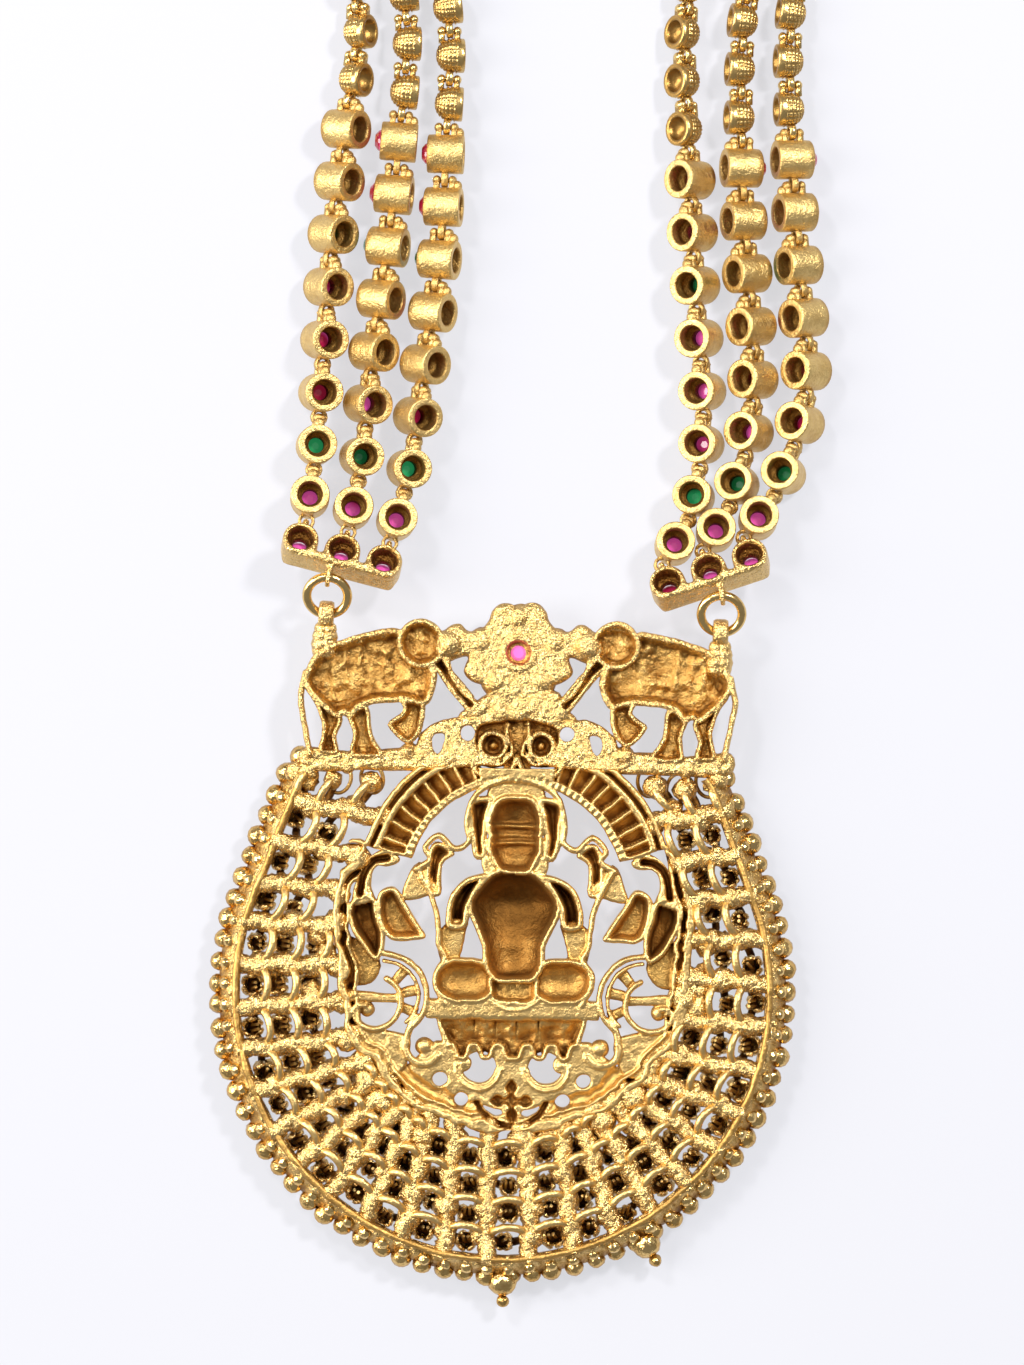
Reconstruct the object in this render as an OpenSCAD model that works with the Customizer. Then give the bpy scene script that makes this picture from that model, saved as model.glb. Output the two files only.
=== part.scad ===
// Three-strand temple necklace lying face down. Millimetres, ground at Z=0, +Z up, +Y towards the clasp.

/* [Pendant rim] */
// Radius of the round rim, at the centres of the outer beads
rim_radius = 36.95; // [35.5:0.05:39]
// Angle above the side line at which the rim turns straight, degrees
rim_turn = 20.8; // [16:0.1:25]
// Length of each straight stretch of the rim
rim_straight = 15.6; // [14:0.1:17]
// Radius of the rim beads
bead_r = 1.15; // [0.9:0.01:1.2]
// Height of the rim bead centres
bead_z = 3; // [2.5:0.1:3.6]
// Pitch of the rim beads
bead_pitch = 2.5; // [2.45:0.01:3]
// Radius of the wire line that ends the lattice
wire_radius = 34.7; // [34:0.05:35.2]
// Height of the pendant's back plane
back_z = 6.7; // [6.4:0.05:7.2]
// Turn of the whole pendant as it lies, degrees
pendant_turn = -0.9; // [-3:0.1:3]

/* [Pendant lattice] */
// Angle between two lattice bars, degrees
bar_step = 9.45; // [9:0.05:10]
// Width of a lattice bar
bar_w = 1.8; // [1.4:0.05:2.2]
// Thickness of the lattice bars
bar_t = 1.6; // [1.2:0.05:2]
// Width of a ring staple between two bars
staple_w = 0.9; // [0.7:0.05:1.2]
// Pitch of the rows of staples
staple_pitch = 3.7; // [3.4:0.05:4]
// Distance of the first row of staples from the wire line
staple_first = 2.9; // [2.6:0.05:3.2]

/* [Pendant casting] */
// Offset of the cast motif from the middle of the rim
motif_x = 1.4; // [0:0.1:2]
// Thickness of the cast walls
wall = 0.6; // [0.45:0.05:0.8]
// Width of the oval inner frame
frame_w = 2; // [1.8:0.05:2.3]
// Outer radius of the arch
arch_r = 20.5; // [20.2:0.05:21]
// Inner radius of the arch
arch_in = 14; // [13.5:0.05:14.5]
// Radius of the ear rings of the two animals
ear_r = 3.15; // [2.8:0.05:3.4]
// Radius of the stone in the flower
flower_stone_r = 1.25; // [1:0.05:1.5]
// Radius of the large ball of each drop
drop_r = 1.95; // [1.6:0.05:2.2]
// Radius of the small ball of each drop
drop_small_r = 0.85; // [0.7:0.05:1]

/* [Rings and bars] */
// Mean radius of the jump rings
jump_r = 2.65; // [2.5:0.05:2.9]
// Wire radius of the jump rings
jump_wire = 0.6; // [0.5:0.05:0.65]
// Pitch of the three collets on a spacer bar
bar_pitch = 5.6; // [5.4:0.05:6]
// Outer radius of a collet on a spacer bar
bar_cup_r = 2.4; // [2.2:0.05:2.5]
// Height of a spacer bar
bar_h = 4.2; // [3.8:0.1:4.6]
// Tilt of the spacer bars as they lie, degrees
bar_tilt = 30; // [26:1:33]
// Height of the middle of the spacer bars
bar_z = 6.3; // [6:0.1:6.8]

/* [Strand links] */
// Pitch of the collet links
collet_pitch = 6.9; // [6.8:0.05:7.2]
// Pitch of the dome links
dome_pitch = 6.3; // [6.2:0.05:6.5]
// Outer radius of a collet
cup_r = 2.55; // [2.3:0.05:2.6]
// Height of a collet
cup_h = 4.7; // [4.2:0.1:4.8]
// Radius of the bore at the back of a collet
bore_r = 1.65; // [1.5:0.05:1.75]
// Radius of a collet stone
stone_r = 1.5; // [1.3:0.05:1.6]
// How far a collet stone stands out at the front
stone_out = 0.95; // [0.7:0.05:1]
// Radius of the round back of a dome link
dome_r = 2.25; // [2.1:0.05:2.3]
// Length of the round back of a dome link
dome_h = 1.6; // [1.4:0.1:1.8]
// Pin radius of the link joints
pin_r = 0.28; // [0.22:0.01:0.3]
// Hole radius of the link eyes
eye_r = 0.68; // [0.66:0.01:0.72]
// Thickness of the link eyes
eye_t = 0.5; // [0.4:0.05:0.55]
// Wall of the link eyes
eye_wall = 0.3; // [0.26:0.01:0.32]

/* [Back chain] */
// Mean radius of the ends of a back chain link
oval_r = 1.6; // [1.5:0.05:1.8]
// Straight length of a back chain link
oval_s = 4.2; // [3.8:0.1:4.6]
// Wire radius of the back chain
oval_wire = 0.55; // [0.45:0.05:0.6]
// Radius of the hidden neck loop
loop_r = 56; // [54:0.5:60]
// Distance between two strands in the hidden loop
strand_gap = 6.2; // [6:0.1:7]

/* [Clearances] */
// Gap between a stone and its seat
stone_gap = 0.1; // [0.08:0.01:0.15]
// Gap between a wire and the hole it runs through
ring_gap = 0.25; // [0.2:0.01:0.3]
// Pull of a link on its pin, off the middle of the eye
eye_pull = 0.22; // [0.15:0.01:0.24]
// Gap between the two cheeks of a link fork and the eye in it, each side
fork_gap = 0.35; // [0.3:0.01:0.4]

/* [Hidden] */
$fn = 48;
GOLD = [0.83, 0.66, 0.33];
RUBY = [0.75, 0.1, 0.25];
GREEN = [0.05, 0.45, 0.25];
n_collets = 8;
n_domes = 18;

// Chosen points of the six strands in the photo, from the pendant's middle: x, y, roll about the strand
route_left = [
  [[-24.3, 70.5, 6], [-23.3, 84, 24], [-22.2, 98, 43], [-20.6, 111.4, 56], [-18.9, 129, 62]],
  [[-18.5, 68.4, 12], [-17, 82.1, 42], [-15.1, 95.8, 72], [-13.6, 110.1, 90], [-12.8, 129, 95]],
  [[-12.2, 67.6, 14], [-10.2, 81.3, 44], [-8.2, 95.6, 74], [-7.4, 109.9, 88], [-7.3, 129, 96]]];
route_right = [
  [[24.7, 62.7, -8], [26.2, 74.9, -22], [25.3, 89.1, -30], [24.6, 103.1, -43], [24.1, 129, -55]],
  [[30.3, 64.8, -14], [32.7, 77.1, -40], [32.1, 91.3, -52], [31.2, 105.1, -74], [31.8, 129, -80]],
  [[36.1, 65.9, -14], [39.7, 78.4, -42], [38.8, 92.2, -56], [37.9, 106, -74], [37.9, 129, -82]]];
// Middle of each spacer bar, and its turn
bar_at = [[-20.9, 56.7, -14.7], [26.9, 54.3, 18.4]];
// Place of the lug along each spacer bar, and its turn
lug_x = [-0.9, 0.6];
lug_turn = [8, -14];
loop_x = 9;
loop_y = 202;

y_top = loop_y + loop_r + 2;
y_low = -(rim_radius + bead_r + 1.4 * drop_r + 2 * drop_small_r - 0.9);
shift = [-loop_x, -(y_top + y_low) / 2, 0];

// Plane geometry
function unit(v) = v / norm(v);
function left_of(a, b) = let (u = unit(b - a)) [-u.y, u.x];
function mitre(n1, n2) = let (m = n1 + n2) 2 * m / max(m * m, 0.9);
function ring_side(p, d) = let (n = len(p)) [for (i = [0 : n - 1])
  p[i] + d * mitre(left_of(p[(i + n - 1) % n], p[i]), left_of(p[i], p[(i + 1) % n]))];
function line_side(p, d) = let (n = len(p)) [for (i = [0 : n - 1])
  p[i] + d * mitre(left_of(p[max(i - 1, 0)], p[max(i, 1)]), left_of(p[min(i, n - 2)], p[min(i + 1, n - 1)]))];
function cross2(a, b) = a.x * b.y - b.x * a.y;
function area2(p) = let (n = len(p))
  [for (i = 0, s = 0; i <= n; s = s + (i < n ? cross2(p[i], p[(i + 1) % n]) : 0), i = i + 1) s][n];
function inset(p, d) = ring_side(p, area2(p) > 0 ? d : -d);
function back_to_front(p) = [for (i = [len(p) - 1 : -1 : 0]) p[i]];
function band(p, w) = concat(line_side(p, w / 2), back_to_front(line_side(p, -w / 2)));
function flip(p) = [for (q = p) [-q.x, q.y]];
function closed_pair(p) = concat(p, back_to_front(flip(p)));
function arc(c, r, a, b, n) = [for (i = [0 : n]) c + r * [cos(a + (b - a) * i / n), sin(a + (b - a) * i / n)]];

module slab(z0, z1) {
  translate([0, 0, z0]) linear_extrude(z1 - z0) children();
}
module both() {
  children();
  mirror([1, 0, 0]) children();
}
module rib(p, w, z0, z1) {
  slab(z0, z1) polygon(band(p, w));
}
// A cast shell, hollow from the back: walls up to top, floor at floor_z, front at front_z
module shell(p, front_z, floor_z, top = back_z) {
  difference() {
    union() {
      slab(front_z + 0.7, top) polygon(p);
      slab(front_z, front_z + 0.8) polygon(inset(p, 0.7));
    }
    slab(floor_z, top + 1) polygon(inset(p, wall));
  }
}

// Rim
arch_y = 13.3;
flower_y = 44.1;
rim_section = [[wire_radius - 0.5, 4.9], [wire_radius - 0.5, back_z - 0.2], [wire_radius - 0.25, back_z + 0.1],
  [wire_radius + 0.25, back_z + 0.1], [wire_radius + 0.5, back_z - 0.3], [wire_radius + 0.6, back_z - 1],
  [rim_radius + 0.35, bead_z + 0.7], [rim_radius + 0.1, bead_z - 0.7], [rim_radius - 0.6, bead_z - 0.7]];
shoulder = [-24.6, 31.4];
// Turn of each drop below the rim, from the middle
drop_turn = [0.9, 30.5];
// A place on the straight stretch of the rim, at radius r and t along it
function rim_spot(r, t) = r * [-cos(rim_turn), sin(rim_turn)] + t * [sin(rim_turn), cos(rim_turn)];
arc_beads = floor(PI / 180 * rim_radius * (90 + rim_turn) / bead_pitch);
line_beads = floor((rim_straight - 0.6) / bead_pitch);
module rim_half() {
  rotate([0, 0, rim_turn]) {
    rotate([0, 0, -91 - rim_turn]) rotate_extrude(angle = 91 + rim_turn, $fn = 160) polygon(rim_section);
    translate([0, rim_straight, 0]) rotate([90, 0, 0]) linear_extrude(rim_straight) polygon(rim_section);
    for (i = [1 : line_beads])
      translate([rim_radius, i * bead_pitch - bead_pitch / 2, bead_z]) sphere(r = bead_r, $fn = 24);
  }
  mirror([1, 0, 0]) {
    a = rim_spot(rim_radius - 0.9, rim_straight);
    b = shoulder;
    slab(bead_z - 0.8, back_z - 0.6) polygon(band([a, b], 2.2));
    for (i = [0 : 1]) let (q = a + (0.3 + i * bead_pitch) * unit(b - a) + left_of(a, b))
      translate([q.x, q.y, bead_z]) sphere(r = bead_r, $fn = 24);
  }
  for (i = [0 : arc_beads - 1]) rotate([0, 0, rim_turn - (i + 0.5) * (90 + rim_turn) / arc_beads])
    translate([rim_radius, 0, bead_z]) sphere(r = bead_r, $fn = 24);
}
module drop(a) {
  reach = rim_radius + 0.75 * bead_r;
  rotate([0, 0, a]) {
    translate([0, -reach, bead_z]) sphere(r = drop_r, $fn = 32);
    translate([0, -reach - drop_r - 0.7 * drop_small_r, bead_z]) sphere(r = drop_small_r, $fn = 24);
  }
}

// Lattice
// Lean of a bar by its angle round the rim, and its length by the same angle
bar_lean = [[0, 0], [10, 3], [20, 10], [30, 24], [45, 44], [60, 66], [75, 82], [90, 87], [105, 92], [120, 98],
  [140, 100]];
bar_long = [[0, 19], [20, 19.5], [45, 18], [60, 16.5], [75, 15], [90, 14], [110, 13.5], [118, 14.5], [128, 17],
  [140, 18]];
bar_count = 29;
bar_turn = 90 + rim_turn;
function sgn(v) = v < 0 ? -1 : 1;
function bar_angle(i) = -2.7 + bar_step * (i - (bar_count - 1) / 2);
function bar_dir(f) = let (a = sgn(f) * lookup(abs(f), bar_lean)) [-sin(a), cos(a)];
function bar_foot(f) = abs(f) < bar_turn ? wire_radius * [sin(f), -cos(f)] :
  let (t = (abs(f) - bar_turn) * PI / 180 * wire_radius, q = rim_spot(wire_radius, t)) [-sgn(f) * q.x, q.y];
function bar_point(i, d) = let (f = bar_angle(i)) bar_foot(f) + d * bar_dir(f);
// An oval round the motif's frame: its middle and half sizes
clear_oval = [[0, 2], [24.4, 20.6]];
function clear_of_motif(p) = let (q = [p.x - motif_x, p.y], o = q - clear_oval[0])
  norm([o.x / clear_oval[1].x, o.y / clear_oval[1].y]) > 1 && norm([q.x, q.y - arch_y]) > arch_r + 0.9;
module strip(a, b, w) {
  polygon(band([a, b], w));
}
module lattice() {
  difference() {
    union() {
      slab(back_z - 0.4 - bar_t, back_z - 0.4)
        for (i = [0 : bar_count - 1])
          strip(bar_point(i, 0), bar_point(i, lookup(abs(bar_angle(i)), bar_long)), bar_w);
      slab(back_z - 0.5 - bar_t, back_z - 0.8)
        for (i = [0 : bar_count - 2]) for (j = [0 : 3])
          let (d = staple_first + j * staple_pitch, a = bar_point(i, d), b = bar_point(i + 1, d))
            if (clear_of_motif(a) && clear_of_motif(b) && norm(a - b) > bar_w) strip(a, b, staple_w);
    }
    translate([motif_x, 0, 0]) slab(0, 20) {
      polygon(inset(frame_line, 0.25 * frame_w));
      translate([0, arch_y]) circle(r = arch_r - 0.4, $fn = 96);
    }
  }
}

// Inner frame and arch
frame_half = [[-18.3, 19.8], [-20.2, 18.7], [-21.5, 16.9], [-22.6, 14.5], [-23.4, 11.7], [-23.4, 7.9],
  [-22.8, 3.9], [-22.5, 0.6], [-22, -3.3], [-21.1, -5.9], [-19.7, -8], [-17.8, -10.1], [-15.8, -12.3], [-13.5, -14.2],
  [-10.6, -15.8], [-7.3, -17.1], [-3.4, -17.9]];
frame_line = closed_pair(frame_half);
arch_section = [[arch_in, 3.6], [arch_r, 3.6], [arch_r, back_z], [arch_r - wall, back_z], [arch_r - wall, 5.2],
  [arch_r - 1.3, 5.2], [arch_r - 1.3, back_z], [arch_r - 1.9, back_z], [arch_r - 1.9, 4.8],
  [arch_in + 1, 4.8], [arch_in + 0.8, back_z - 0.3], [arch_in, back_z - 0.3]];
module inner_frame() {
  difference() {
    slab(3, back_z) polygon(frame_line);
    slab(0, 20) polygon(inset(frame_line, frame_w));
    translate([0, arch_y, 0]) cylinder(r = arch_r - 0.4, h = 20, $fn = 96);
    difference() {
      slab(5, 20) polygon(inset(frame_line, wall));
      slab(0, 20) polygon(inset(frame_line, frame_w - wall));
      translate([-40, -60, 0]) cube([80, 54, 20]);
    }
  }
  translate([0, arch_y, 0]) {
    rotate([0, 0, 17]) rotate_extrude(angle = 146, $fn = 96) polygon(arch_section);
    both() for (i = [0 : 7]) rotate([0, 0, 14 + 6.9 * i]) translate([arch_in + 0.5, -0.25, 4])
      cube([arch_r - arch_in - 2.2, 0.5, back_z - 4.7]);
  }
}

// Seated figure, hollow from behind
torso_line = [[1.9, 15.3], [3.7, 14.3], [5.4, 12.2], [5.4, 10.4], [4.5, 8.4], [3.6, 6.3], [3.5, 4.6],
  [3.1, 3.2]];
head_line = [[1.5, 24.9], [2.4, 24.2], [3.1, 22.5], [3.2, 21], [2.8, 20.5], [3.1, 20], [3, 18.4], [2.6, 18],
  [2.7, 17.5], [2.1, 16.5], [1.2, 15.8]];
knee_line = [[0.8, 3.4], [1.9, 2.7], [2.45, 1.5], [2.5, 0], [2.4, -1.6], [1.6, -3], [0.7, -3.5]];
function grown(p, d) = [for (q = p) [q.x + d, q.y]];
module spun(p, d) {
  n = len(p) - 1;
  outline = concat([[0, p[0].y + 0.3 + d]], grown(p, d), [[0, p[n].y - 0.3 - d]]);
  rotate([-90, 0, 0]) rotate_extrude($fn = 64) polygon(outline);
}
arm_line = [[-3.5, 15.3], [-6.1, 14.9], [-7.8, 13.5], [-8.7, 11.5], [-8.9, 8.6], [-7, 8.1], [-6, 9],
  [-5.6, 11.2], [-4.6, 13.3]];
forearm_line = [[-8.3, 9.3], [-9.9, 7.5], [-9.9, 5.7], [-9.2, 3.4], [-7.4, 3.4], [-6.3, 7.8], [-6.1, 9]];
stem_line = [[-12.6, 15.8], [-11.3, 13.2], [-10.2, 10.2], [-9.8, 7.8], [-9.6, 6], [-8.9, 4.4], [-10.1, 2.6],
  [-10.1, 0.6], [-9, -1.5]];
halo_line = [[0, 28.2], [-3.4, 26.9], [-5.4, 25.4], [-6.1, 23.8], [-6.4, 21.6], [-6.1, 19.7], [-7.1, 18.8],
  [-8.3, 18.7], [-10, 20.2], [-11.8, 18.6], [-11.1, 17.2], [-12.9, 15.9]];
curl_line = [[-6.3, 23.9], [-5.2, 25.2], [-2.8, 24.8], [-3.5, 23], [-3.8, 20], [-3.6, 17.8], [-5.4, 17.6]];
hand_line = [[-11.3, 18.2], [-10, 19.4], [-7.9, 17.9], [-9.6, 16.6], [-9.7, 12.6], [-11.2, 12.8],
  [-11.6, 15.6]];
neck_line = [[-3.4, 14.4], [-2.4, 15.4], [-3.1, 17.4], [-3.9, 17.9], [-4.4, 16.8], [-4, 15.2]];
feet_line = [[-3, 2.7], [-1.5, 3.4], [1.5, 3.4], [3, 2.7], [3.3, 0.2], [2.8, -1], [-2.8, -1], [-3.3, 0.2]];
brow_line = [[-3.6, 0.6], [0, 2.2], [3.6, 0.6], [3, -2], [-3, -2]];
seam_line = [[-3.3, -0.9], [-1.9, -1.9], [0, -2.3], [1.9, -1.9], [3.3, -0.9]];
// Heights of the lines that torso, head and knees are turned round
torso_z = 5.4 + wall;
bowl_z = back_z - 0.9;
knee_at = [6.3, 1.5, bowl_z];
module figure() {
  difference() {
    union() {
      translate([0, 0, torso_z]) spun(torso_line, wall);
      translate([0, 0, bowl_z]) spun(head_line, 0.55);
      translate([0, 20.4, 4.4]) sphere(r = 3.3, $fn = 40);
      both() translate(knee_at) rotate([0, 0, 90]) spun(knee_line, wall);
      slab(2, 5) polygon([[-3.6, 3.6], [3.6, 3.6], [3.4, -2.2], [-3.4, -2.2]]);
      translate([0, 26.2, 0]) slab(2.6, back_z - 0.6) polygon(brow_line);
    }
    translate([0, 0, torso_z]) spun(torso_line, 0);
    translate([0, 0, bowl_z]) spun(head_line, 0);
    both() translate(knee_at) rotate([0, 0, 90]) spun(knee_line, 0);
    translate([-20, -10, back_z]) cube([40, 50, 20]);
  }
  both() {
    shell(arm_line, 2.2, 3.4);
    slab(2.6, back_z - 0.9) polygon(forearm_line);
    rib(stem_line, wall, 3.6, back_z);
    rib(halo_line, wall, 3.2, back_z);
    shell(curl_line, 2.8, 4, back_z - 0.4);
    shell(hand_line, 3.2, 4.4, back_z - 0.3);
    slab(3, back_z - 0.2) polygon(neck_line);
  }
  shell(feet_line, 2.4, 5);
  rib(seam_line, 0.5, 4, back_z - 0.1);
}

// Lotus seat and the plate below it
scallop_line = [[-8.6, -7.4], [-7.2, -8.4], [-6.1, -8], [-5.5, -6.4], [-4.9, -6.4], [-4.3, -8.4], [-2.9, -8.4],
  [-2.5, -7], [-1.8, -7], [-1, -8.9], [0, -9]];
crescent_line = [[1.3, -15.9], [2.2, -16.1], [3.4, -15.3], [3.6, -14.7], [2.4, -15.2], [1.4, -15.3]];
plate_half = [[-8.4, -6.3], [-10.3, -6.9], [-12.3, -8.4], [-14.6, -10.6], [-14, -12.5], [-10.6, -15.2],
  [-5, -17.2]];
module seat() {
  slab(2.2, back_z - 0.2) polygon([[-11.4, -1], [11.2, -1], [11.2, -3.4], [-11.4, -3.4]]);
  difference() {
    slab(2.6, back_z - 0.1) polygon([[-9.3, -3], [9.1, -3], [8.3, -8], [-8.4, -8]]);
    slab(4.2, 20) polygon([[-8.5, -3.4], [8.3, -3.4], [7.6, -8.6], [-7.7, -8.6]]);
  }
  for (i = [-2 : 2]) translate([i * 3.1 - 0.35, -8, 3.4]) cube([0.7, 4.9, 1.6]);
  both() rib(scallop_line, wall, 3.4, back_z);
  difference() {
    slab(3.8, back_z - 0.3) polygon(closed_pair(plate_half));
    both() {
      translate([9.15, -11.35, 0]) cylinder(r = 0.9, h = 20, $fn = 24);
      translate([6.5, -13.95, 0]) cylinder(r = 0.9, h = 20, $fn = 24);
      translate([4.6, -9.9, 0]) cylinder(r = 2.7, h = 20, $fn = 32);
      slab(0, 20) polygon(crescent_line);
      slab(5, 20) polygon(band(arc([0, -12.4], 4.9, -20, -84, 7), 0.7));
    }
    translate([0, -9.9, 0]) cylinder(r = 0.4, h = 20, $fn = 16);
    slab(4.8, 20) polygon(band([[0, -11.6], [0, -16.6]], 0.9));
    slab(4.8, 20) polygon(band([[-2.3, -14.1], [2.3, -14.1]], 0.9));
  }
  both() {
    rib(arc([-4.6, -9.9], 2.7, 175, 365, 10), wall, 3.6, back_z - 0.1);
    translate([-6.3, -9.8, 5.1]) sphere(r = 1.1, $fn = 24);
    translate([-11.4, -7.1, 5.2]) sphere(r = 1.15, $fn = 24);
    rib(concat([[-12.6, -3.4], [-13.6, -5.6]], arc([-11.6, -7.2], 2.2, 180, 330, 7)), 1, 3.8, back_z - 0.2);
  }
}

// Birds and scrolls
bird_body = [[-21.6, 9.3], [-21.2, 11.4], [-19.8, 12.6], [-18, 12], [-17.4, 9.6], [-16.7, 7.6], [-16.9, 4.6],
  [-18.1, 4], [-20.1, 6.2]];
bird_wing = [[-18.2, 10.2], [-17.8, 12.6], [-15.6, 13.4], [-14, 11.2], [-12, 7.1], [-15.2, 6.6], [-17.3, 7.8]];
bird_head = [[-21, 11], [-20.7, 13.8], [-20, 15.9], [-18.8, 17.5], [-17, 18.2], [-15.1, 17.3], [-15.2, 16.6],
  [-16.4, 16.2], [-17.8, 16.2], [-18.6, 15.2], [-18.7, 13.6], [-18.3, 11.8]];
module bird_and_scrolls() {
  shell(bird_body, 2.2, 3.4);
  shell(bird_wing, 2.4, 3.8, back_z - 0.1);
  difference() {
    slab(3, back_z - 0.2) polygon(bird_head);
    slab(4.6, 20) polygon(band([[-19.9, 12.8], [-19.5, 15.4], [-18.2, 16.8], [-16.8, 17.2]], 0.8));
  }
  slab(3.4, 5.2) polygon([[-21.9, 7], [-21.5, 1.4], [-18.6, 0.9], [-17.3, 4]]);
  rib(arc([-16.7, -0.6], 5.25, 92, -46, 12), 1, 3.8, back_z - 0.1);
  rib(concat(arc([-17.9, -1.5], 3.25, 62, -120, 10), [[-20.6, -3.3], [-20.3, -2], [-19.2, -1.9]]),
    0.9, 3.8, back_z - 0.2);
  for (a = [50, 12, -26])
    translate([-17, -0.8, 0]) rotate([0, 0, a]) translate([2.4, -0.7, 4.2]) cube([2.8, 1.4, 1.6]);
  translate([-18.9, -2.4, 5]) sphere(r = 0.95, $fn = 24);
  slab(4, back_z - 0.6) polygon([[-22, 0], [-14.8, -0.3], [-14.8, -1.5], [-22, -1.5]]);
  slab(3.8, back_z - 0.5) polygon([[-21.6, -4.6], [-16, -4.4], [-13.2, -6.4], [-14.2, -10.2], [-17, -10.4]]);
  slab(3.8, back_z - 0.5) polygon([[-12.6, 16.8], [-9.8, 13], [-11.2, 12.4], [-14, 11.8], [-14.6, 13]]);
}

// Top casting with two elephants and a flower
back_line = [[-12.4, 44.6], [-15.4, 46.9], [-17.6, 46.9], [-19.8, 46.5], [-21.8, 45.9], [-24.5, 44.9],
  [-26.4, 43.6], [-27.4, 42.1], [-28, 40.2], [-27.2, 38.4], [-25.6, 36.8], [-23.7, 35.3], [-22.6, 35.7],
  [-21.5, 35.2], [-19.9, 36.9], [-15, 37.5], [-12.1, 37], [-10.9, 39], [-10.7, 41.5]];
tail_line = [[-27.7, 41.2], [-28.2, 38.3], [-27.9, 35.8], [-27.4, 33.2], [-26.9, 30.6]];
hind_leg = [[-26.9, 38.4], [-26, 36.4], [-25.3, 34], [-25.7, 30.8], [-23.2, 30.8], [-23.5, 33], [-22.9, 35.8]];
mid_leg = [[-22, 35.8], [-21.4, 33.4], [-21.4, 30.4], [-17.4, 30.6], [-18.8, 33.2], [-19.5, 37]];
fore_leg = [[-15.2, 37.8], [-14.9, 36.4], [-16.9, 34.6], [-14.4, 32.1], [-12.5, 33.7], [-12.2, 37.4]];
trunk_line = [[-9.5, 44.2], [-8.5, 41.6], [-6.9, 39.2], [-5, 37.6], [-6.2, 36.2], [-7.9, 38], [-9.4, 39.8],
  [-10.8, 41.6], [-12, 43]];
flower_half = [[-9.7, 46.6], [-8.8, 47.7], [-7.6, 47.9], [-6.6, 47], [-5.1, 47.1], [-3.9, 48.3], [-3.5, 49.6],
  [-2.3, 50.6], [-1, 50.6], [0, 50]];
flower_low = [[9.6, 43], [6.6, 43.6], [7.1, 41.7], [6.1, 40.5], [3.8, 39.5], [3.8, 38.2], [-3.8, 38.2],
  [-3.8, 39.5], [-6.1, 40.5], [-7.1, 41.7], [-6.6, 43.6], [-9.6, 43]];
flower_line = concat(flower_half, back_to_front([for (q = flip(flower_half)) if (q.x > 0) q]), flower_low);
loop_plate = [[-11.6, 29], [-11.4, 32.6], [-9.4, 34.8], [-7.6, 35.6], [-2, 35.6], [-0.9, 33.4], [-1.1, 31],
  [-2.6, 29.9], [-5.6, 29.2]];
curl_below = [[-6.3, 30.2], [-5.2, 28.5], [-2.7, 27.9], [-0.9, 28.8], [0, 30.6]];
waist_line = [[-7.4, 35.2], [7.4, 35.2], [5.8, 37.4], [4.6, 39.4], [-2.8, 39.2], [-5.8, 37.4]];
module top_casting() {
  both() {
    shell(back_line, 2, 4.2);
    shell(hind_leg, 2.6, 4.4);
    shell(mid_leg, 2.6, 4.4);
    shell(fore_leg, 2.6, 4.2);
    rib(tail_line, 0.7, 3.4, back_z);
    difference() {
      translate([-12.65, 45.2, 2.8]) cylinder(r = ear_r, h = back_z - 2.8, $fn = 40);
      translate([-12.65, 45.2, 4.4]) cylinder(r = ear_r - wall, h = 20, $fn = 40);
    }
    shell(trunk_line, 2.6, 3.8);
    difference() {
      slab(3.6, back_z - 0.4) polygon(loop_plate);
      translate([-6.5, 33.3, 0]) cylinder(r = 0.75, h = 20, $fn = 20);
      translate([-3.15, 32.15, 4.4]) cylinder(r = 1.3, h = 20, $fn = 24);
    }
    slab(3.4, back_z - 0.5) polygon([[-27.8, 31.3], [-10.6, 31.3], [-10.6, 28.9], [-27.4, 28.6]]);
    translate([-14, 31, 5]) sphere(r = 1.25, $fn = 24);
    translate([-22, 28.8, 4.6]) cylinder(r = 1.3, h = 1.4, $fn = 20);
    rib(curl_below, 0.7, 3.6, back_z - 0.1);
  }
  slab(3.6, back_z - 0.3) polygon(waist_line);
  difference() {
    slab(3.6, 5) polygon([[-7, 31], [7, 31], [6, 26.8], [-6, 26.8]]);
    translate([0, 28.9, 0]) cylinder(r = 0.6, h = 20, $fn = 3);
  }
  difference() {
    union() {
      slab(3.8, back_z - 0.3) polygon(flower_line);
      translate([0, flower_y, 3.2]) cylinder(r = 2.4, h = back_z - 3.1, $fn = 32);
    }
    translate([0, flower_y, 0]) cylinder(r = flower_stone_r + stone_gap, h = back_z - 1, $fn = 32);
    translate([0, flower_y, 0]) cylinder(r = flower_stone_r - 0.25, h = 20, $fn = 32);
  }
}
module pendant_stone_shape() {
  translate([0, flower_y, back_z - 3]) rotate_extrude($fn = 32)
    polygon([[0, -1], [0.7, -1], [flower_stone_r, -0.2], [flower_stone_r, 1.2], [0.8, 1.9], [0, 1.9]]);
}

// Bails and jump rings
bail_hole = jump_wire + ring_gap + 0.15;
bail_w = 2;
// The bail stands across the ring wire at the ring's lower side, the lug of the bar at its upper side
bail_z = back_z - 0.9;
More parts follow.
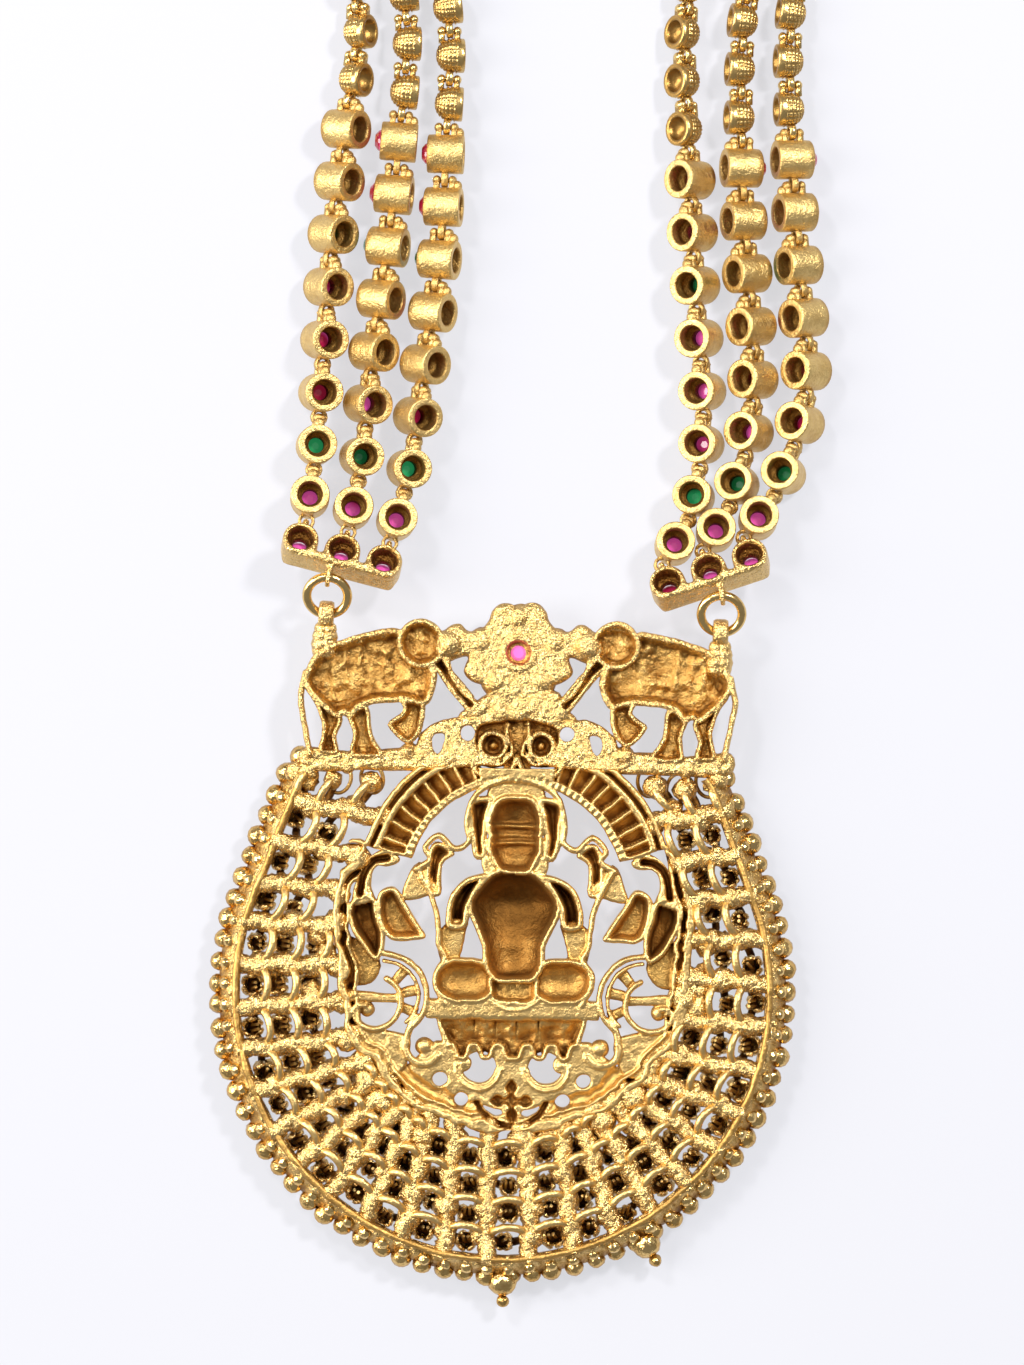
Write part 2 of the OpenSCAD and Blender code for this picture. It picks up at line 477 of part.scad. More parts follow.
// Where each bail roughly stands, seen from the bar
bail_side = [[-22.9, 48.7], [28.3, 46.4]];
lug_reach = bar_cup_r + 1.15;
ring_top = [for (s = [0, 1]) lug_point(s)];
ring_bail = [for (s = [0, 1])
  let (t = ring_top[s], c = [t.x, t.y], h = sqrt(4 * jump_r * jump_r - (t.z - bail_z) * (t.z - bail_z)))
    c + h * unit(bail_side[s] - c)];
ring_mid = [for (s = [0, 1]) (ring_top[s] + [ring_bail[s].x, ring_bail[s].y, bail_z]) / 2];
module jump_ring(s) {
  d = ring_top[s] - [ring_bail[s].x, ring_bail[s].y, bail_z];
  translate(ring_mid[s]) rotate([0, 0, atan2(d.y, d.x) - 90]) rotate([asin(d.z / norm(d)), 0, 0])
    rotate_extrude($fn = 48) translate([jump_r, 0]) circle(r = jump_wire, $fn = 20);
}
module bail(s) {
  a = ring_bail[s];
  d = ring_top[s] - [a.x, a.y, bail_z];
  translate([a.x, a.y, bail_z]) rotate([0, 0, atan2(d.y, d.x) - 90]) difference() {
    union() {
      rotate([0, 90, 0]) cylinder(r = bail_hole + 0.75, h = bail_w, center = true, $fn = 32);
      translate([-bail_w / 2, -4.8, -1.7]) cube([bail_w, 3.8, 2.6]);
    }
    rotate([0, 90, 0]) cylinder(r = bail_hole, h = 9, center = true, $fn = 24);
  }
}
module pendant_shape() {
  rotate([0, 0, pendant_turn]) {
    both() rim_half();
    for (a = drop_turn) drop(a);
    lattice();
    translate([motif_x, 0, 0]) {
      inner_frame();
      figure();
      seat();
      both() bird_and_scrolls();
      top_casting();
    }
  }
  bail(0);
  bail(1);
}

// Spacer bars
// A place on a spacer bar, as the bar lies tilted and turned
function bar_frame(s, v) = let (c = bar_at[s], t = bar_tilt,
  w = [v.x, v.y * cos(t) + v.z * sin(t), -v.y * sin(t) + v.z * cos(t)])
  [c.x + w.x * cos(c[2]) - w.y * sin(c[2]), c.y + w.x * sin(c[2]) + w.y * cos(c[2]), bar_z + w.z];
function lug_point(s) = bar_frame(s, [lug_x[s], -lug_reach - 0.1, 0]);
bar_joint = bar_cup_r + 1.05;
bar_fork = 0.6;
fork_lean = 7;
module bar_body() {
  difference() {
    union() {
      for (i = [-1 : 1]) translate([i * bar_pitch, 0, 0]) cylinder(r = bar_cup_r, h = bar_h, center = true);
      translate([-bar_pitch - 1.9, -bar_cup_r, -bar_h / 2]) cube([2 * bar_pitch + 3.8, 1.5, bar_h]);
      for (i = [-1 : 1]) translate([i * bar_pitch, bar_joint, 0]) rotate([bar_tilt - fork_lean, 0, 0]) {
        for (s = [-1, 1]) translate([0, 0, s * (eye_t / 2 + bar_fork + 0.3)]) {
          cylinder(r = 0.62, h = 0.6, center = true, $fn = 24);
          translate([-0.5, -1.5, -0.3]) cube([1, 1.5, 0.6]);
        }
        cylinder(r = pin_r, h = eye_t + 2 * bar_fork + 0.6, center = true, $fn = 16);
      }
    }
    for (i = [-1 : 1]) translate([i * bar_pitch, 0, 0]) {
      translate([0, 0, bar_h / 2 - 1.9]) cylinder(r = bore_r, h = 3);
      cylinder(r = 0.95, h = 20, center = true, $fn = 24);
      translate([0, 0, -bar_h / 2 - 1]) cylinder(r = stone_r + stone_gap, h = 1.9);
    }
    for (i = [-0.5, 0.5])
      translate([i * bar_pitch, -bar_cup_r + 1.5, 0]) rotate([0, 0, 90])
        cylinder(r = 0.75, h = 20, center = true, $fn = 3);
  }
}
module spacer_bar(s) {
  translate([bar_at[s].x, bar_at[s].y, bar_z]) rotate([0, 0, bar_at[s][2]]) rotate([-bar_tilt, 0, 0]) {
    bar_body();
    translate([lug_x[s], -lug_reach, 0]) rotate([0, 0, lug_turn[s]]) difference() {
      union() {
        rotate([0, 90, 0]) cylinder(r = bail_hole + 0.5, h = 1, center = true, $fn = 32);
        translate([-0.5, 0.3, -0.9]) cube([1, 1.4, 1.8]);
      }
      rotate([0, 90, 0]) cylinder(r = bail_hole, h = 9, center = true, $fn = 24);
    }
  }
}

// Strand links, each from its eye's pin at the origin along +Y
fork_half = eye_t / 2 + fork_gap;
ear_t = 0.7;
module fork(p, r) {
  translate([0, p, 0]) {
    for (s = [-1, 1]) translate([0, 0, s * (fork_half + ear_t / 2)]) {
      cylinder(r = 0.6, h = ear_t, center = true, $fn = 24);
      translate([-0.5, r - p / 2 - 0.4, -ear_t / 2]) cube([1, p / 2 - r + 0.4, ear_t]);
    }
    cylinder(r = pin_r, h = 2 * fork_half + ear_t, center = true, $fn = 16);
  }
}
module eye() {
  translate([0, eye_pull, 0]) cylinder(r = eye_r + eye_wall, h = eye_t, center = true, $fn = 32);
}
module eye_hole() {
  translate([0, eye_pull, 0]) cylinder(r = eye_r, h = eye_t + 1, center = true, $fn = 24);
}
module collet_link() {
  difference() {
    union() {
      translate([0, collet_pitch / 2, 0]) cylinder(r = cup_r, h = cup_h, center = true);
      fork(collet_pitch, cup_r);
      eye();
    }
    eye_hole();
    translate([0, collet_pitch / 2, 0]) {
      translate([0, 0, cup_h / 2 - 2]) cylinder(r = bore_r, h = 3, $fn = 32);
      cylinder(r = 0.95, h = 20, center = true, $fn = 24);
      translate([0, 0, -cup_h / 2 - 1]) cylinder(r = stone_r + stone_gap, h = 2.2, $fn = 32);
    }
  }
}
stone_section = [[0, -0.9], [stone_r - 0.3, -0.9], [stone_r, -0.5], [stone_r, 0],
  [0.8 * stone_r, 0.5 * stone_out], [0.45 * stone_r, 0.9 * stone_out], [0, stone_out]];
module stone() {
  rotate([180, 0, 0]) rotate_extrude($fn = 24) polygon(stone_section);
}
module dome_link() {
  z0 = 0.35;
  difference() {
    union() {
      translate([0, dome_pitch / 2, z0]) cylinder(r = dome_r, h = dome_h, $fn = 40);
      difference() {
        translate([0, dome_pitch / 2, z0]) sphere(r = dome_r - 0.05, $fn = 32);
        translate([-5, dome_pitch / 2 - 5, z0 + 0.5]) cube([10, 10, 10]);
      }
      fork(dome_pitch, dome_r);
      eye();
    }
    eye_hole();
    translate([0, dome_pitch / 2, z0 + 0.2]) cylinder(r = 1.5, h = 5, $fn = 32);
  }
}

// Routes: a smooth curve through the chosen points, with links laid along it at their pitch
function smooth(p, t) = let (n = len(p) - 1, i = min(floor(t), n - 1), f = t - i,
  a = p[max(i - 1, 0)], b = p[i], c = p[i + 1], d = p[min(i + 2, n)])
  0.5 * (2 * b + (c - a) * f + (2 * a - 5 * b + 4 * c - d) * f * f + (3 * b - a - 3 * c + d) * f * f * f);
function three(v) = [v[0], v[1], v[2]];
function seek(p, o, d, lo, hi, k) = k == 0 ? (lo + hi) / 2 : let (m = (lo + hi) / 2)
  norm(three(smooth(p, m)) - o) < d ? seek(p, o, d, m, hi, k - 1) : seek(p, o, d, lo, m, k - 1);
function walk(p, steps, i = 0, t = 0) = i == len(steps) ? [t] :
  concat([t], walk(p, steps, i + 1, seek(p, three(smooth(p, t)), steps[i], t, min(t + 1, len(p) - 1), 20)));
function strand_steps() = [for (i = [0 : n_collets + n_domes - 1]) i < n_collets ? collet_pitch : dome_pitch];
// Height at which a link rolled by an angle rests on the ground
lift = 0.12;
function collet_rest(a) = lift + max(cup_h / 2 * cos(a) + cup_r * abs(sin(a)),
  (cup_h / 2 + stone_out - 0.2) * cos(a) + 0.5 * abs(sin(a)));
function dome_rest(a) = lift + dome_r - min(0.35, 0.35 * cos(a));
function on_loop(s, o, a) =
  [loop_x + (s == 0 ? -1 : 1) * (loop_r + o) * cos(a), loop_y + (loop_r + o) * sin(a), dome_rest(0), 0];
loop_angles = [-30, -10, 10, 30, 50, 70, 90];
run_in = 52;
// The three strands of a side are numbered from left to right
function outward(s, k) = (s == 0 ? 1 - k : k - 1) * strand_gap;
function blend(a, b, u, v, t) = (2 * t * t * t - 3 * t * t + 1) * a + (t * t * t - 2 * t * t + t) * u
  + (3 * t * t - 2 * t * t * t) * b + (t * t * t - t * t) * v;
// Direction in which a strand leaves the photo, degrees
leave_turn = 6;
function run_points(s, e, q) = let (w = s == 0 ? -1 : 1, a0 = loop_angles[0],
  u = run_in * [w * sin(leave_turn), cos(leave_turn)], v = run_in * [-w * sin(a0), cos(a0)])
  [for (t = [1 / 3, 2 / 3]) let (r = blend([e.x, e.y], [q.x, q.y], u, v, t), a = e[2] * (1 - t))
    [r.x, r.y, dome_rest(a), a]];
function seen_points(v) = [for (i = [0 : 4])
  [v[i][0], v[i][1], i < 4 ? collet_rest(v[i][2]) : dome_rest(v[i][2]), v[i][2]]];
function route(s, k) = let (j = bar_frame(s, [(k - 1) * bar_pitch, bar_joint, 0]), o = outward(s, k),
  v = s == 0 ? route_left[k] : route_right[k])
  concat([[j.x, j.y, j.z, 0]], seen_points(v), run_points(s, v[4], on_loop(s, o, loop_angles[0])),
    [for (a = loop_angles) on_loop(s, o, a)]);
function joints_of(r) = [for (t = walk(r, strand_steps())) smooth(r, t)];
joints = [for (s = [0, 1]) [for (k = [0 : 2]) joints_of(route(s, k))]];
module lay(a, b) {
  d = three(b) - three(a);
  translate(three(a)) rotate([0, 0, atan2(d.y, d.x) - 90]) rotate([asin(d.z / norm(d)), 0, 0])
    rotate([0, (a[3] + b[3]) / 2, 0]) children();
}
module strand(s, k) {
  j = joints[s][k];
  for (i = [0 : n_collets - 1]) lay(j[i], j[i + 1]) collet_link();
  for (i = [n_collets : n_collets + n_domes - 1]) lay(j[i], j[i + 1]) dome_link();
}
// Links of each strand that hold a green stone
green_links = [1, 5];
module stones(green) {
  for (s = [0, 1]) for (k = [0 : 2]) for (i = [0 : n_collets - 1])
    if ((i == green_links[0] || i == green_links[1]) == green)
      lay(joints[s][k][i], joints[s][k][i + 1]) translate([0, collet_pitch / 2, -cup_h / 2 + 0.2]) stone();
  if (!green)
    for (s = [0, 1])
      translate([bar_at[s].x, bar_at[s].y, bar_z]) rotate([0, 0, bar_at[s][2]]) rotate([-bar_tilt, 0, 0])
        for (i = [-1 : 1]) translate([i * bar_pitch, 0, -bar_h / 2 - 0.1]) stone();
}

// End bars, back chain and clasp, hidden in the photo
last = n_collets + n_domes;
function ends(s) = [for (k = [0 : 2]) three(joints[s][k][last])];
function onward(s) = let (d = joints[s][1][last] - joints[s][1][last - 1]) unit([d.x, d.y, 0]);
function bar_line(s) = [for (e = ends(s)) e + 2.9 * onward(s)];
lug_hole = 1.3;
lug_hang = 0.75;
chain_z = oval_r + oval_wire + lift;
function chain_lug(s) = let (g = bar_line(s)[1] + 2.5 * onward(s)) [g.x, g.y, chain_z];
oval_pitch = oval_s + 2 * oval_r - 2 * oval_wire - 0.2;
chain_roll = [90, 0];
chain_parts = 5;
function chain_route(s) = let (g = chain_lug(s) + lug_hang * onward(s), m = chain_parts,
  a0 = atan2(g.y - loop_y, abs(g.x - loop_x)), o = norm([g.x - loop_x, g.y - loop_y]) - loop_r)
  concat([[g.x, g.y, chain_z, 0]], [for (i = [1 : m])
    let (q = on_loop(s, o * (1 - i / m), a0 + (90 - a0) * i / m)) [q.x, q.y, chain_z, 0]]);
function part_length(r, i) = norm(three(smooth(r, (i + 1) / 4)) - three(smooth(r, i / 4)));
function chain_left(s) = let (r = chain_route(s), n = 4 * chain_parts)
  [for (i = 0, l = 0; i <= n; l = l + (i < n ? part_length(r, i) : 0), i = i + 1) l][n];
function chain_count(s) = 2 * floor(((chain_left(s) - 6) / oval_pitch - 1) / 2) + 1;
chain = [for (s = [0, 1]) let (r = chain_route(s))
  [for (t = walk(r, [for (i = [1 : chain_count(s)]) oval_pitch])) smooth(r, t)]];
module end_bar(s) {
  e = ends(s);
  b = bar_line(s);
  h = atan2(onward(s).y, onward(s).x) - 90;
  for (k = [0 : 2]) translate(e[k]) rotate([0, 0, h]) difference() {
    union() {
      translate([0, eye_pull, 0]) cylinder(r = eye_r + eye_wall, h = eye_t, center = true, $fn = 32);
      translate([-0.6, eye_pull + eye_r, -eye_t / 2]) cube([1.2, 1.6, eye_t]);
    }
    translate([0, eye_pull, 0]) cylinder(r = eye_r, h = 9, center = true, $fn = 24);
  }
  slab(b[1].z - 1.1, b[1].z + 1.1) {
    polygon(band([[b[0].x, b[0].y], [b[1].x, b[1].y], [b[2].x, b[2].y]], 2));
    for (k = [0, 2]) translate([b[k].x, b[k].y]) circle(r = 1.3, $fn = 32);
  }
  translate(chain_lug(s)) rotate([0, 0, h]) difference() {
    union() {
      cylinder(r = lug_hole + 0.65, h = 1.2, center = true, $fn = 32);
      translate([-0.9, -2.4, -0.6]) cube([1.8, 1.4, 1.2]);
    }
    cylinder(r = lug_hole, h = 9, center = true, $fn = 32);
  }
}
module oval_link() {
  for (a = [0, 180]) rotate([0, 0, a]) {
    translate([0, oval_s / 2, 0]) rotate_extrude(angle = 180, $fn = 40)
      translate([oval_r, 0]) circle(r = oval_wire, $fn = 16);
    translate([oval_r, oval_s / 2, 0]) rotate([90, 0, 0]) cylinder(r = oval_wire, h = oval_s, $fn = 16);
  }
}
module back_chain(s) {
  c = chain[s];
  for (i = [0 : len(c) - 2])
    let (a = three(c[i]), b = three(c[i + 1]))
      translate((a + b) / 2) rotate([0, 0, atan2(b.y - a.y, b.x - a.x) - 90])
        rotate([0, chain_roll[i % 2], 0]) oval_link();
}
module clasp_shape() {
  ends = [for (s = [0, 1]) let (e = chain[s][len(chain[s]) - 1]) [e[0], e[1]]];
  u = unit(ends[1] - ends[0]);
  p = ends[0] + lug_hang * u;
  q = ends[1] - lug_hang * u;
  bar_in = lug_hole + 0.2;
  difference() {
    slab(chain_z - 0.6, chain_z + 0.6) {
      for (c = [p, q]) translate(c) circle(r = lug_hole + 0.65, $fn = 40);
      polygon(band([p + bar_in * u, q - bar_in * u], 1.6));
    }
    for (c = [p, q]) translate(c) cylinder(r = lug_hole, h = 20, $fn = 40);
  }
  translate((p + q) / 2) slab(chain_z - 1.5, chain_z + 1.5) circle(r = 2.2, $fn = 40);
}

module pendant() { color(GOLD) translate(shift) pendant_shape(); }
module pendant_stone() {
  color(RUBY) translate(shift) rotate([0, 0, pendant_turn]) translate([motif_x, 0, 0]) pendant_stone_shape();
}
module jump_ring_left() { color(GOLD) translate(shift) jump_ring(0); }
module jump_ring_right() { color(GOLD) translate(shift) jump_ring(1); }
module spacer_bar_left() { color(GOLD) translate(shift) spacer_bar(0); }
module spacer_bar_right() { color(GOLD) translate(shift) spacer_bar(1); }
module strand_left_outer() { color(GOLD) translate(shift) strand(0, 0); }
module strand_left_middle() { color(GOLD) translate(shift) strand(0, 1); }
module strand_left_inner() { color(GOLD) translate(shift) strand(0, 2); }
module strand_right_inner() { color(GOLD) translate(shift) strand(1, 0); }
module strand_right_middle() { color(GOLD) translate(shift) strand(1, 1); }
module strand_right_outer() { color(GOLD) translate(shift) strand(1, 2); }
module collet_stones_ruby() { color(RUBY) translate(shift) stones(false); }
module collet_stones_emerald() { color(GREEN) translate(shift) stones(true); }
module end_bar_left() { color(GOLD) translate(shift) end_bar(0); }
module end_bar_right() { color(GOLD) translate(shift) end_bar(1); }
module back_chain_left() { color(GOLD) translate(shift) back_chain(0); }
module back_chain_right() { color(GOLD) translate(shift) back_chain(1); }
module clasp() { color(GOLD) translate(shift) clasp_shape(); }

pendant();
pendant_stone();
jump_ring_left();
jump_ring_right();
spacer_bar_left();
spacer_bar_right();
strand_left_outer();
strand_left_middle();
strand_left_inner();
strand_right_inner();
strand_right_middle();
strand_right_outer();
collet_stones_ruby();
collet_stones_emerald();
end_bar_left();
end_bar_right();
back_chain_left();
back_chain_right();
clasp();
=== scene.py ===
# %% [markdown]
# # A three-strand temple necklace, lying face down
# The real necklace is cast and soldered brass, gilded and then darkened in its hollows.
# A imported CAD model says where everything lies. This lesson dresses it: cast relief, bead rows,
# links and stones are made here in their true places, and each one stands for a CAD node.
# The frame is loaded first, and its box is measured and printed.

# %% Load the frame
import math
import bmesh
import bpy
import numpy as np
from mathutils import Matrix, Vector


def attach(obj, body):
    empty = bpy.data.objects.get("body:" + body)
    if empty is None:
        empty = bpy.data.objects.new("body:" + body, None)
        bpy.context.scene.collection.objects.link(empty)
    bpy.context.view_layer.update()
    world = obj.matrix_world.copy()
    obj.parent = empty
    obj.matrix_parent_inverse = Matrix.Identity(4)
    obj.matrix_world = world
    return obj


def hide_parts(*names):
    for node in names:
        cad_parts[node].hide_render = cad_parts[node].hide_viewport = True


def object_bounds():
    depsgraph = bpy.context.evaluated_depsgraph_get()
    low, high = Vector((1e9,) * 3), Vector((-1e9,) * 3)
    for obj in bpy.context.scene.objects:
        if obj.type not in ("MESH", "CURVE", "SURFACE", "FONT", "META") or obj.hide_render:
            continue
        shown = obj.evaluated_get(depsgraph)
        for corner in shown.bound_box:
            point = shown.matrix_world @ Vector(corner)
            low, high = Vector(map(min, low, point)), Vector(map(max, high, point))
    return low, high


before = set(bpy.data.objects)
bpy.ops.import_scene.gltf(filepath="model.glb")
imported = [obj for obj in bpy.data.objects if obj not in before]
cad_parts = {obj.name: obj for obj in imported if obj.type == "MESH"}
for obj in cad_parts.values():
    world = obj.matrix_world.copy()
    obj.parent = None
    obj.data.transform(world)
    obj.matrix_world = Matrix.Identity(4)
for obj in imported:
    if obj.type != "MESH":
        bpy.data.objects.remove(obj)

cad_low, cad_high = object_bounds()
print("CAD box, mm:", [round(v * 1000, 1) for v in (cad_high - cad_low)])

# %% [markdown]
# ## Places and sizes
# Everything is worked out in millimetres from the middle of the pendant's round rim.
# The whole necklace is moved once, by `from_rim`, into the frame of the CAD model, and turned a
# little as the pendant lies. A maker would also measure from the middle of the round.

# %% Sizes
MM = 0.001
photo_pixel, photo_rows = 0.13, 1365
from_rim = np.array([-9.0, -109.185, 0.0])
pendant_turn = math.radians(-0.9)
motif_x = 1.4  # the motif stands a little to the right of the rim's middle
back_z = 6.7  # the plane that the walls and ribs of the back reach
rim_radius, rim_turn, rim_straight = 36.95, 20.8, 15.6  # round up to rim_turn degrees, then straight
wire_radius = 34.7
bead_r, bead_z, bead_pitch = 1.15, 3.0, 2.85


def placed(points, from_motif=False):
    """Points in mm from the rim's middle, as metres in the frame of the CAD model."""
    p = np.array(points, float)
    if from_motif:
        p = p + [motif_x, 0, 0]
    c, s = math.cos(pendant_turn), math.sin(pendant_turn)
    p = np.stack([c * p[:, 0] - s * p[:, 1], s * p[:, 0] + c * p[:, 1], p[:, 2]], 1)
    return (p + from_rim) * MM


# %% [markdown]
# ## Camera
# The photograph looks straight down. One pixel of it is 0.13 mm of necklace, so the picture is
# 133.1 by 177.5 mm. A long lens from 0.7 m keeps the near parts from growing.

# %% Camera
camera_height = 0.7
picture_height = photo_rows * photo_pixel * MM
sharp_height, sensor = 0.005, 36
camera_data = bpy.data.cameras.new("photo_camera")
camera_data.lens = sensor / 2 * (camera_height - sharp_height) / (picture_height / 2)
camera_data.clip_start, camera_data.clip_end = 0.01, 20
camera = bpy.data.objects.new("photo_camera", camera_data)
camera.location = (-7.77 * MM, -68.92 * MM, camera_height)
bpy.context.scene.collection.objects.link(camera)
bpy.context.scene.camera = camera
print("lens, mm:", round(camera_data.lens, 1))

# %% [markdown]
# ## A way to write materials
# Colours are written as they look on a screen, and one function turns them to the linear values
# that light is worked out with. One small function adds a node with its settings and its links.

# %% Colour and node helpers
def screen_colour(code):
    """A hex colour as it looks on screen, turned to linear."""
    parts = [int(code[i:i + 2], 16) / 255 for i in (1, 3, 5)]
    return tuple(v / 12.92 if v <= 0.04045 else ((v + 0.055) / 1.055) ** 2.4 for v in parts) + (1.0,)


def add_node(tree, kind, sockets=None, **settings):
    """One node. A socket gets a value, or (node, output) to link."""
    node = tree.nodes.new(kind)
    for name, value in settings.items():
        setattr(node, name, value)
    for name, value in (sockets or {}).items():
        if isinstance(value, tuple) and len(value) == 2 and hasattr(value[0], "outputs"):
            tree.links.new(value[0].outputs[value[1]], node.inputs[name])
        else:
            node.inputs[name].default_value = value
    return node


def new_material(name):
    """An empty node material and its tree."""
    material = bpy.data.materials.new(name)
    material.use_nodes = True
    material.node_tree.nodes.clear()
    return material, material.node_tree


def colour_steps(node, steps):
    """Fills a colour ramp with (place, colour code) pairs."""
    ramp = node.color_ramp
    while len(ramp.elements) > 1:
        ramp.elements.remove(ramp.elements[-1])
    ramp.elements[0].position = steps[0][0]
    ramp.elements[0].color = screen_colour(steps[0][1])
    for place, code in steps[1:]:
        ramp.elements.new(place).color = screen_colour(code)


# %% [markdown]
# ## Antique gold, cast
# Gilded brass, cast in one piece and not polished at the back: a grainy skin about a quarter of
# a millimetre across, bright where it was rubbed, brown where the darkening stayed in a hollow.
# Each pendant piece carries an attribute, `hollow`, from 0 on top to 1 in its depths. It browns
# the colour: partly that darkening, and partly painted shade in recesses and under other parts.
# The skin is patchy too, so noise shifts the hollow value before it picks a colour. Metal keeps
# its own IOR.
# Bars, elephants and bails were cast in sand: a pitted skin that breaks a highlight into sparks.
# Real casting grain is about 0.1 mm. It is drawn two to three times as coarse, so that it shows.

# %% Antique cast gold
def gold_material(name, steps, rough, grain_mm, grain_depth, patch_mm=1.6, hollow_rough=0.25, grime=0.35):
    material, tree = new_material(name)
    place = add_node(tree, "ShaderNodeTexCoord")
    hollow = add_node(tree, "ShaderNodeAttribute", attribute_name="hollow")
    patches = add_node(tree, "ShaderNodeTexNoise",
                       {"Vector": (place, "Object"), "Scale": 1 / (patch_mm * MM), "Detail": 3.0,
                        "Roughness": 0.6})
    grain = add_node(tree, "ShaderNodeTexNoise",
                     {"Vector": (place, "Object"), "Scale": 1 / (grain_mm * MM), "Detail": 2.0,
                      "Roughness": 0.55})
    stain = add_node(tree, "ShaderNodeMath",
                     {0: (patches, "Fac"), 1: grime, 2: -grime / 2}, operation="MULTIPLY_ADD")
    # The hollow value, painted shade as well as the darkening in hollows, picks the colour with the
    # patches.
    shade = add_node(tree, "ShaderNodeMath",
                     {0: (hollow, "Fac"), 1: (stain, 0)}, operation="ADD", use_clamp=True)
    colour = add_node(tree, "ShaderNodeValToRGB", {"Fac": (shade, 0)})
    colour_steps(colour, steps)
    dull = add_node(tree, "ShaderNodeMath",
                    {0: (shade, 0), 1: hollow_rough, 2: rough - 0.08}, operation="MULTIPLY_ADD")
    gloss = add_node(tree, "ShaderNodeMath",
                     {0: (grain, "Fac"), 1: 0.16, 2: (dull, 0)}, operation="MULTIPLY_ADD")
    coarse = add_node(tree, "ShaderNodeTexNoise",
                      {"Vector": (place, "Object"), "Scale": 0.4 / (grain_mm * MM), "Detail": 2.0})
    rough_skin = add_node(tree, "ShaderNodeBump",
                          {"Height": (coarse, "Fac"), "Strength": 0.7, "Distance": 1.5 * grain_depth * MM})
    bump = add_node(tree, "ShaderNodeBump",
                    {"Height": (grain, "Fac"), "Strength": 0.7, "Distance": grain_depth * MM,
                     "Normal": (rough_skin, "Normal")})
    skin = add_node(tree, "ShaderNodeBsdfPrincipled",
                    {"Base Color": (colour, "Color"), "Metallic": 1.0, "Roughness": (gloss, 0),
                     "Normal": (bump, "Normal")})
    add_node(tree, "ShaderNodeOutputMaterial", {"Surface": (skin, "BSDF")})
    print("material", name, "grain", grain_mm, "mm")
    return material


cast_steps = [(0.0, "#E3C07C"), (0.25, "#C59B55"), (0.55, "#8A5F2B"), (1.0, "#4A2E12")]
antique_gold = gold_material("antique_gold_cast", cast_steps, 0.38, 0.26, 0.1, grime=0.35)
rough_gold = gold_material("antique_gold_sandcast", cast_steps, 0.25, 0.24, 0.26, patch_mm=1.1, grime=0.65)

# %% [markdown]
# ## Satin, wire and shot
# The collets were turned and brushed: a satin skin with a finer grain, which gives the eye broad
# soft highlights. Rings, eyes and pins are drawn wire, almost polished, and flash along a line.
# The rim's beads are gilded shot: bright but pitted, so that each carries a broken glint.

# %% Satin and wire gold
satin_steps = [(0.0, "#DFBF7C"), (0.4, "#B68F50"), (0.75, "#82602E"), (1.0, "#402B12")]
satin_gold = gold_material("satin_gold_brushed", satin_steps, 0.4, 0.2, 0.12, patch_mm=1.6, grime=0.6)
wire_gold = gold_material("polished_gold_wire", cast_steps, 0.2, 0.6, 0.06, patch_mm=2.0, grime=0.5)
shot_gold = gold_material("gilded_shot", cast_steps, 0.2, 0.55, 0.2, patch_mm=1.0, grime=0.8)

# %% [markdown]
# ## Glass stones
# The stones are cut coloured glass with the light of the room coming through from the front.
# That light is painted: the rear facets take the brighter end of the colours, and each stone
# glows a little. From behind each shows a flat, saturated colour, some bright pink and some deep
# red. A slow noise, wider than a stone, picks the tint, and a smooth coat over an opaque colour
# gives the look of tinted glass at the bottom of a deep cup, where true refraction would be black.

# %% Glass
def glass_material(name, front, deep, bright):
    material, tree = new_material(name)
    place = add_node(tree, "ShaderNodeTexCoord")
    clouds = add_node(tree, "ShaderNodeTexNoise",
                      {"Vector": (place, "Object"), "Scale": 1 / (9 * MM), "Detail": 1.0})
    # Painted light: the rear facets carry a `hollow` of 1, which moves them to the brighter colours.
    rear = add_node(tree, "ShaderNodeAttribute", attribute_name="hollow")
    lit = add_node(tree, "ShaderNodeMath",
                   {0: (rear, "Fac"), 1: 0.5, 2: (clouds, "Fac")}, operation="MULTIPLY_ADD")
    colour = add_node(tree, "ShaderNodeValToRGB", {"Fac": (lit, 0)})
    colour_steps(colour, [(0.65, front), (0.94, deep), (1.0, bright)])
    # The emission is painted light: a faint glow that stands for the light coming through the stone.
    body = add_node(tree, "ShaderNodeBsdfPrincipled",
                    {"Base Color": (colour, "Color"), "Roughness": 0.12, "IOR": 1.52, "Coat Weight": 0.6,
                     "Emission Color": (colour, "Color"), "Emission Strength": 0.4})
    add_node(tree, "ShaderNodeOutputMaterial", {"Surface": (body, "BSDF")})
    return material


ruby_glass = glass_material("ruby_glass", "#8E1A2E", "#A81C46", "#E85AAE")
emerald_glass = glass_material("emerald_glass", "#12502C", "#1C6B3A", "#2FA866")
pink_glass = glass_material("pink_foiled_glass", "#EC66B0", "#F07CBE", "#FA8CCB")

# %% [markdown]
# ## Making plain meshes
# Each piece ends as one plain mesh with its place in its points. Big meshes are filled from
# arrays, which is much faster than adding faces one by one. `finish_piece` hands a mesh to the
# frame: it rides on the body, stands for its CAD node and takes the material it is given.

# %% Mesh helpers
def set_hollow(mesh, values):
    """Writes how hollow each point is, from 0 on top to 1 in the depths."""
    shade = mesh.attributes.get("hollow") or mesh.attributes.new("hollow", "FLOAT", "POINT")
    shade.data.foreach_set("value", np.clip(values, 0, 1).astype(np.float32))


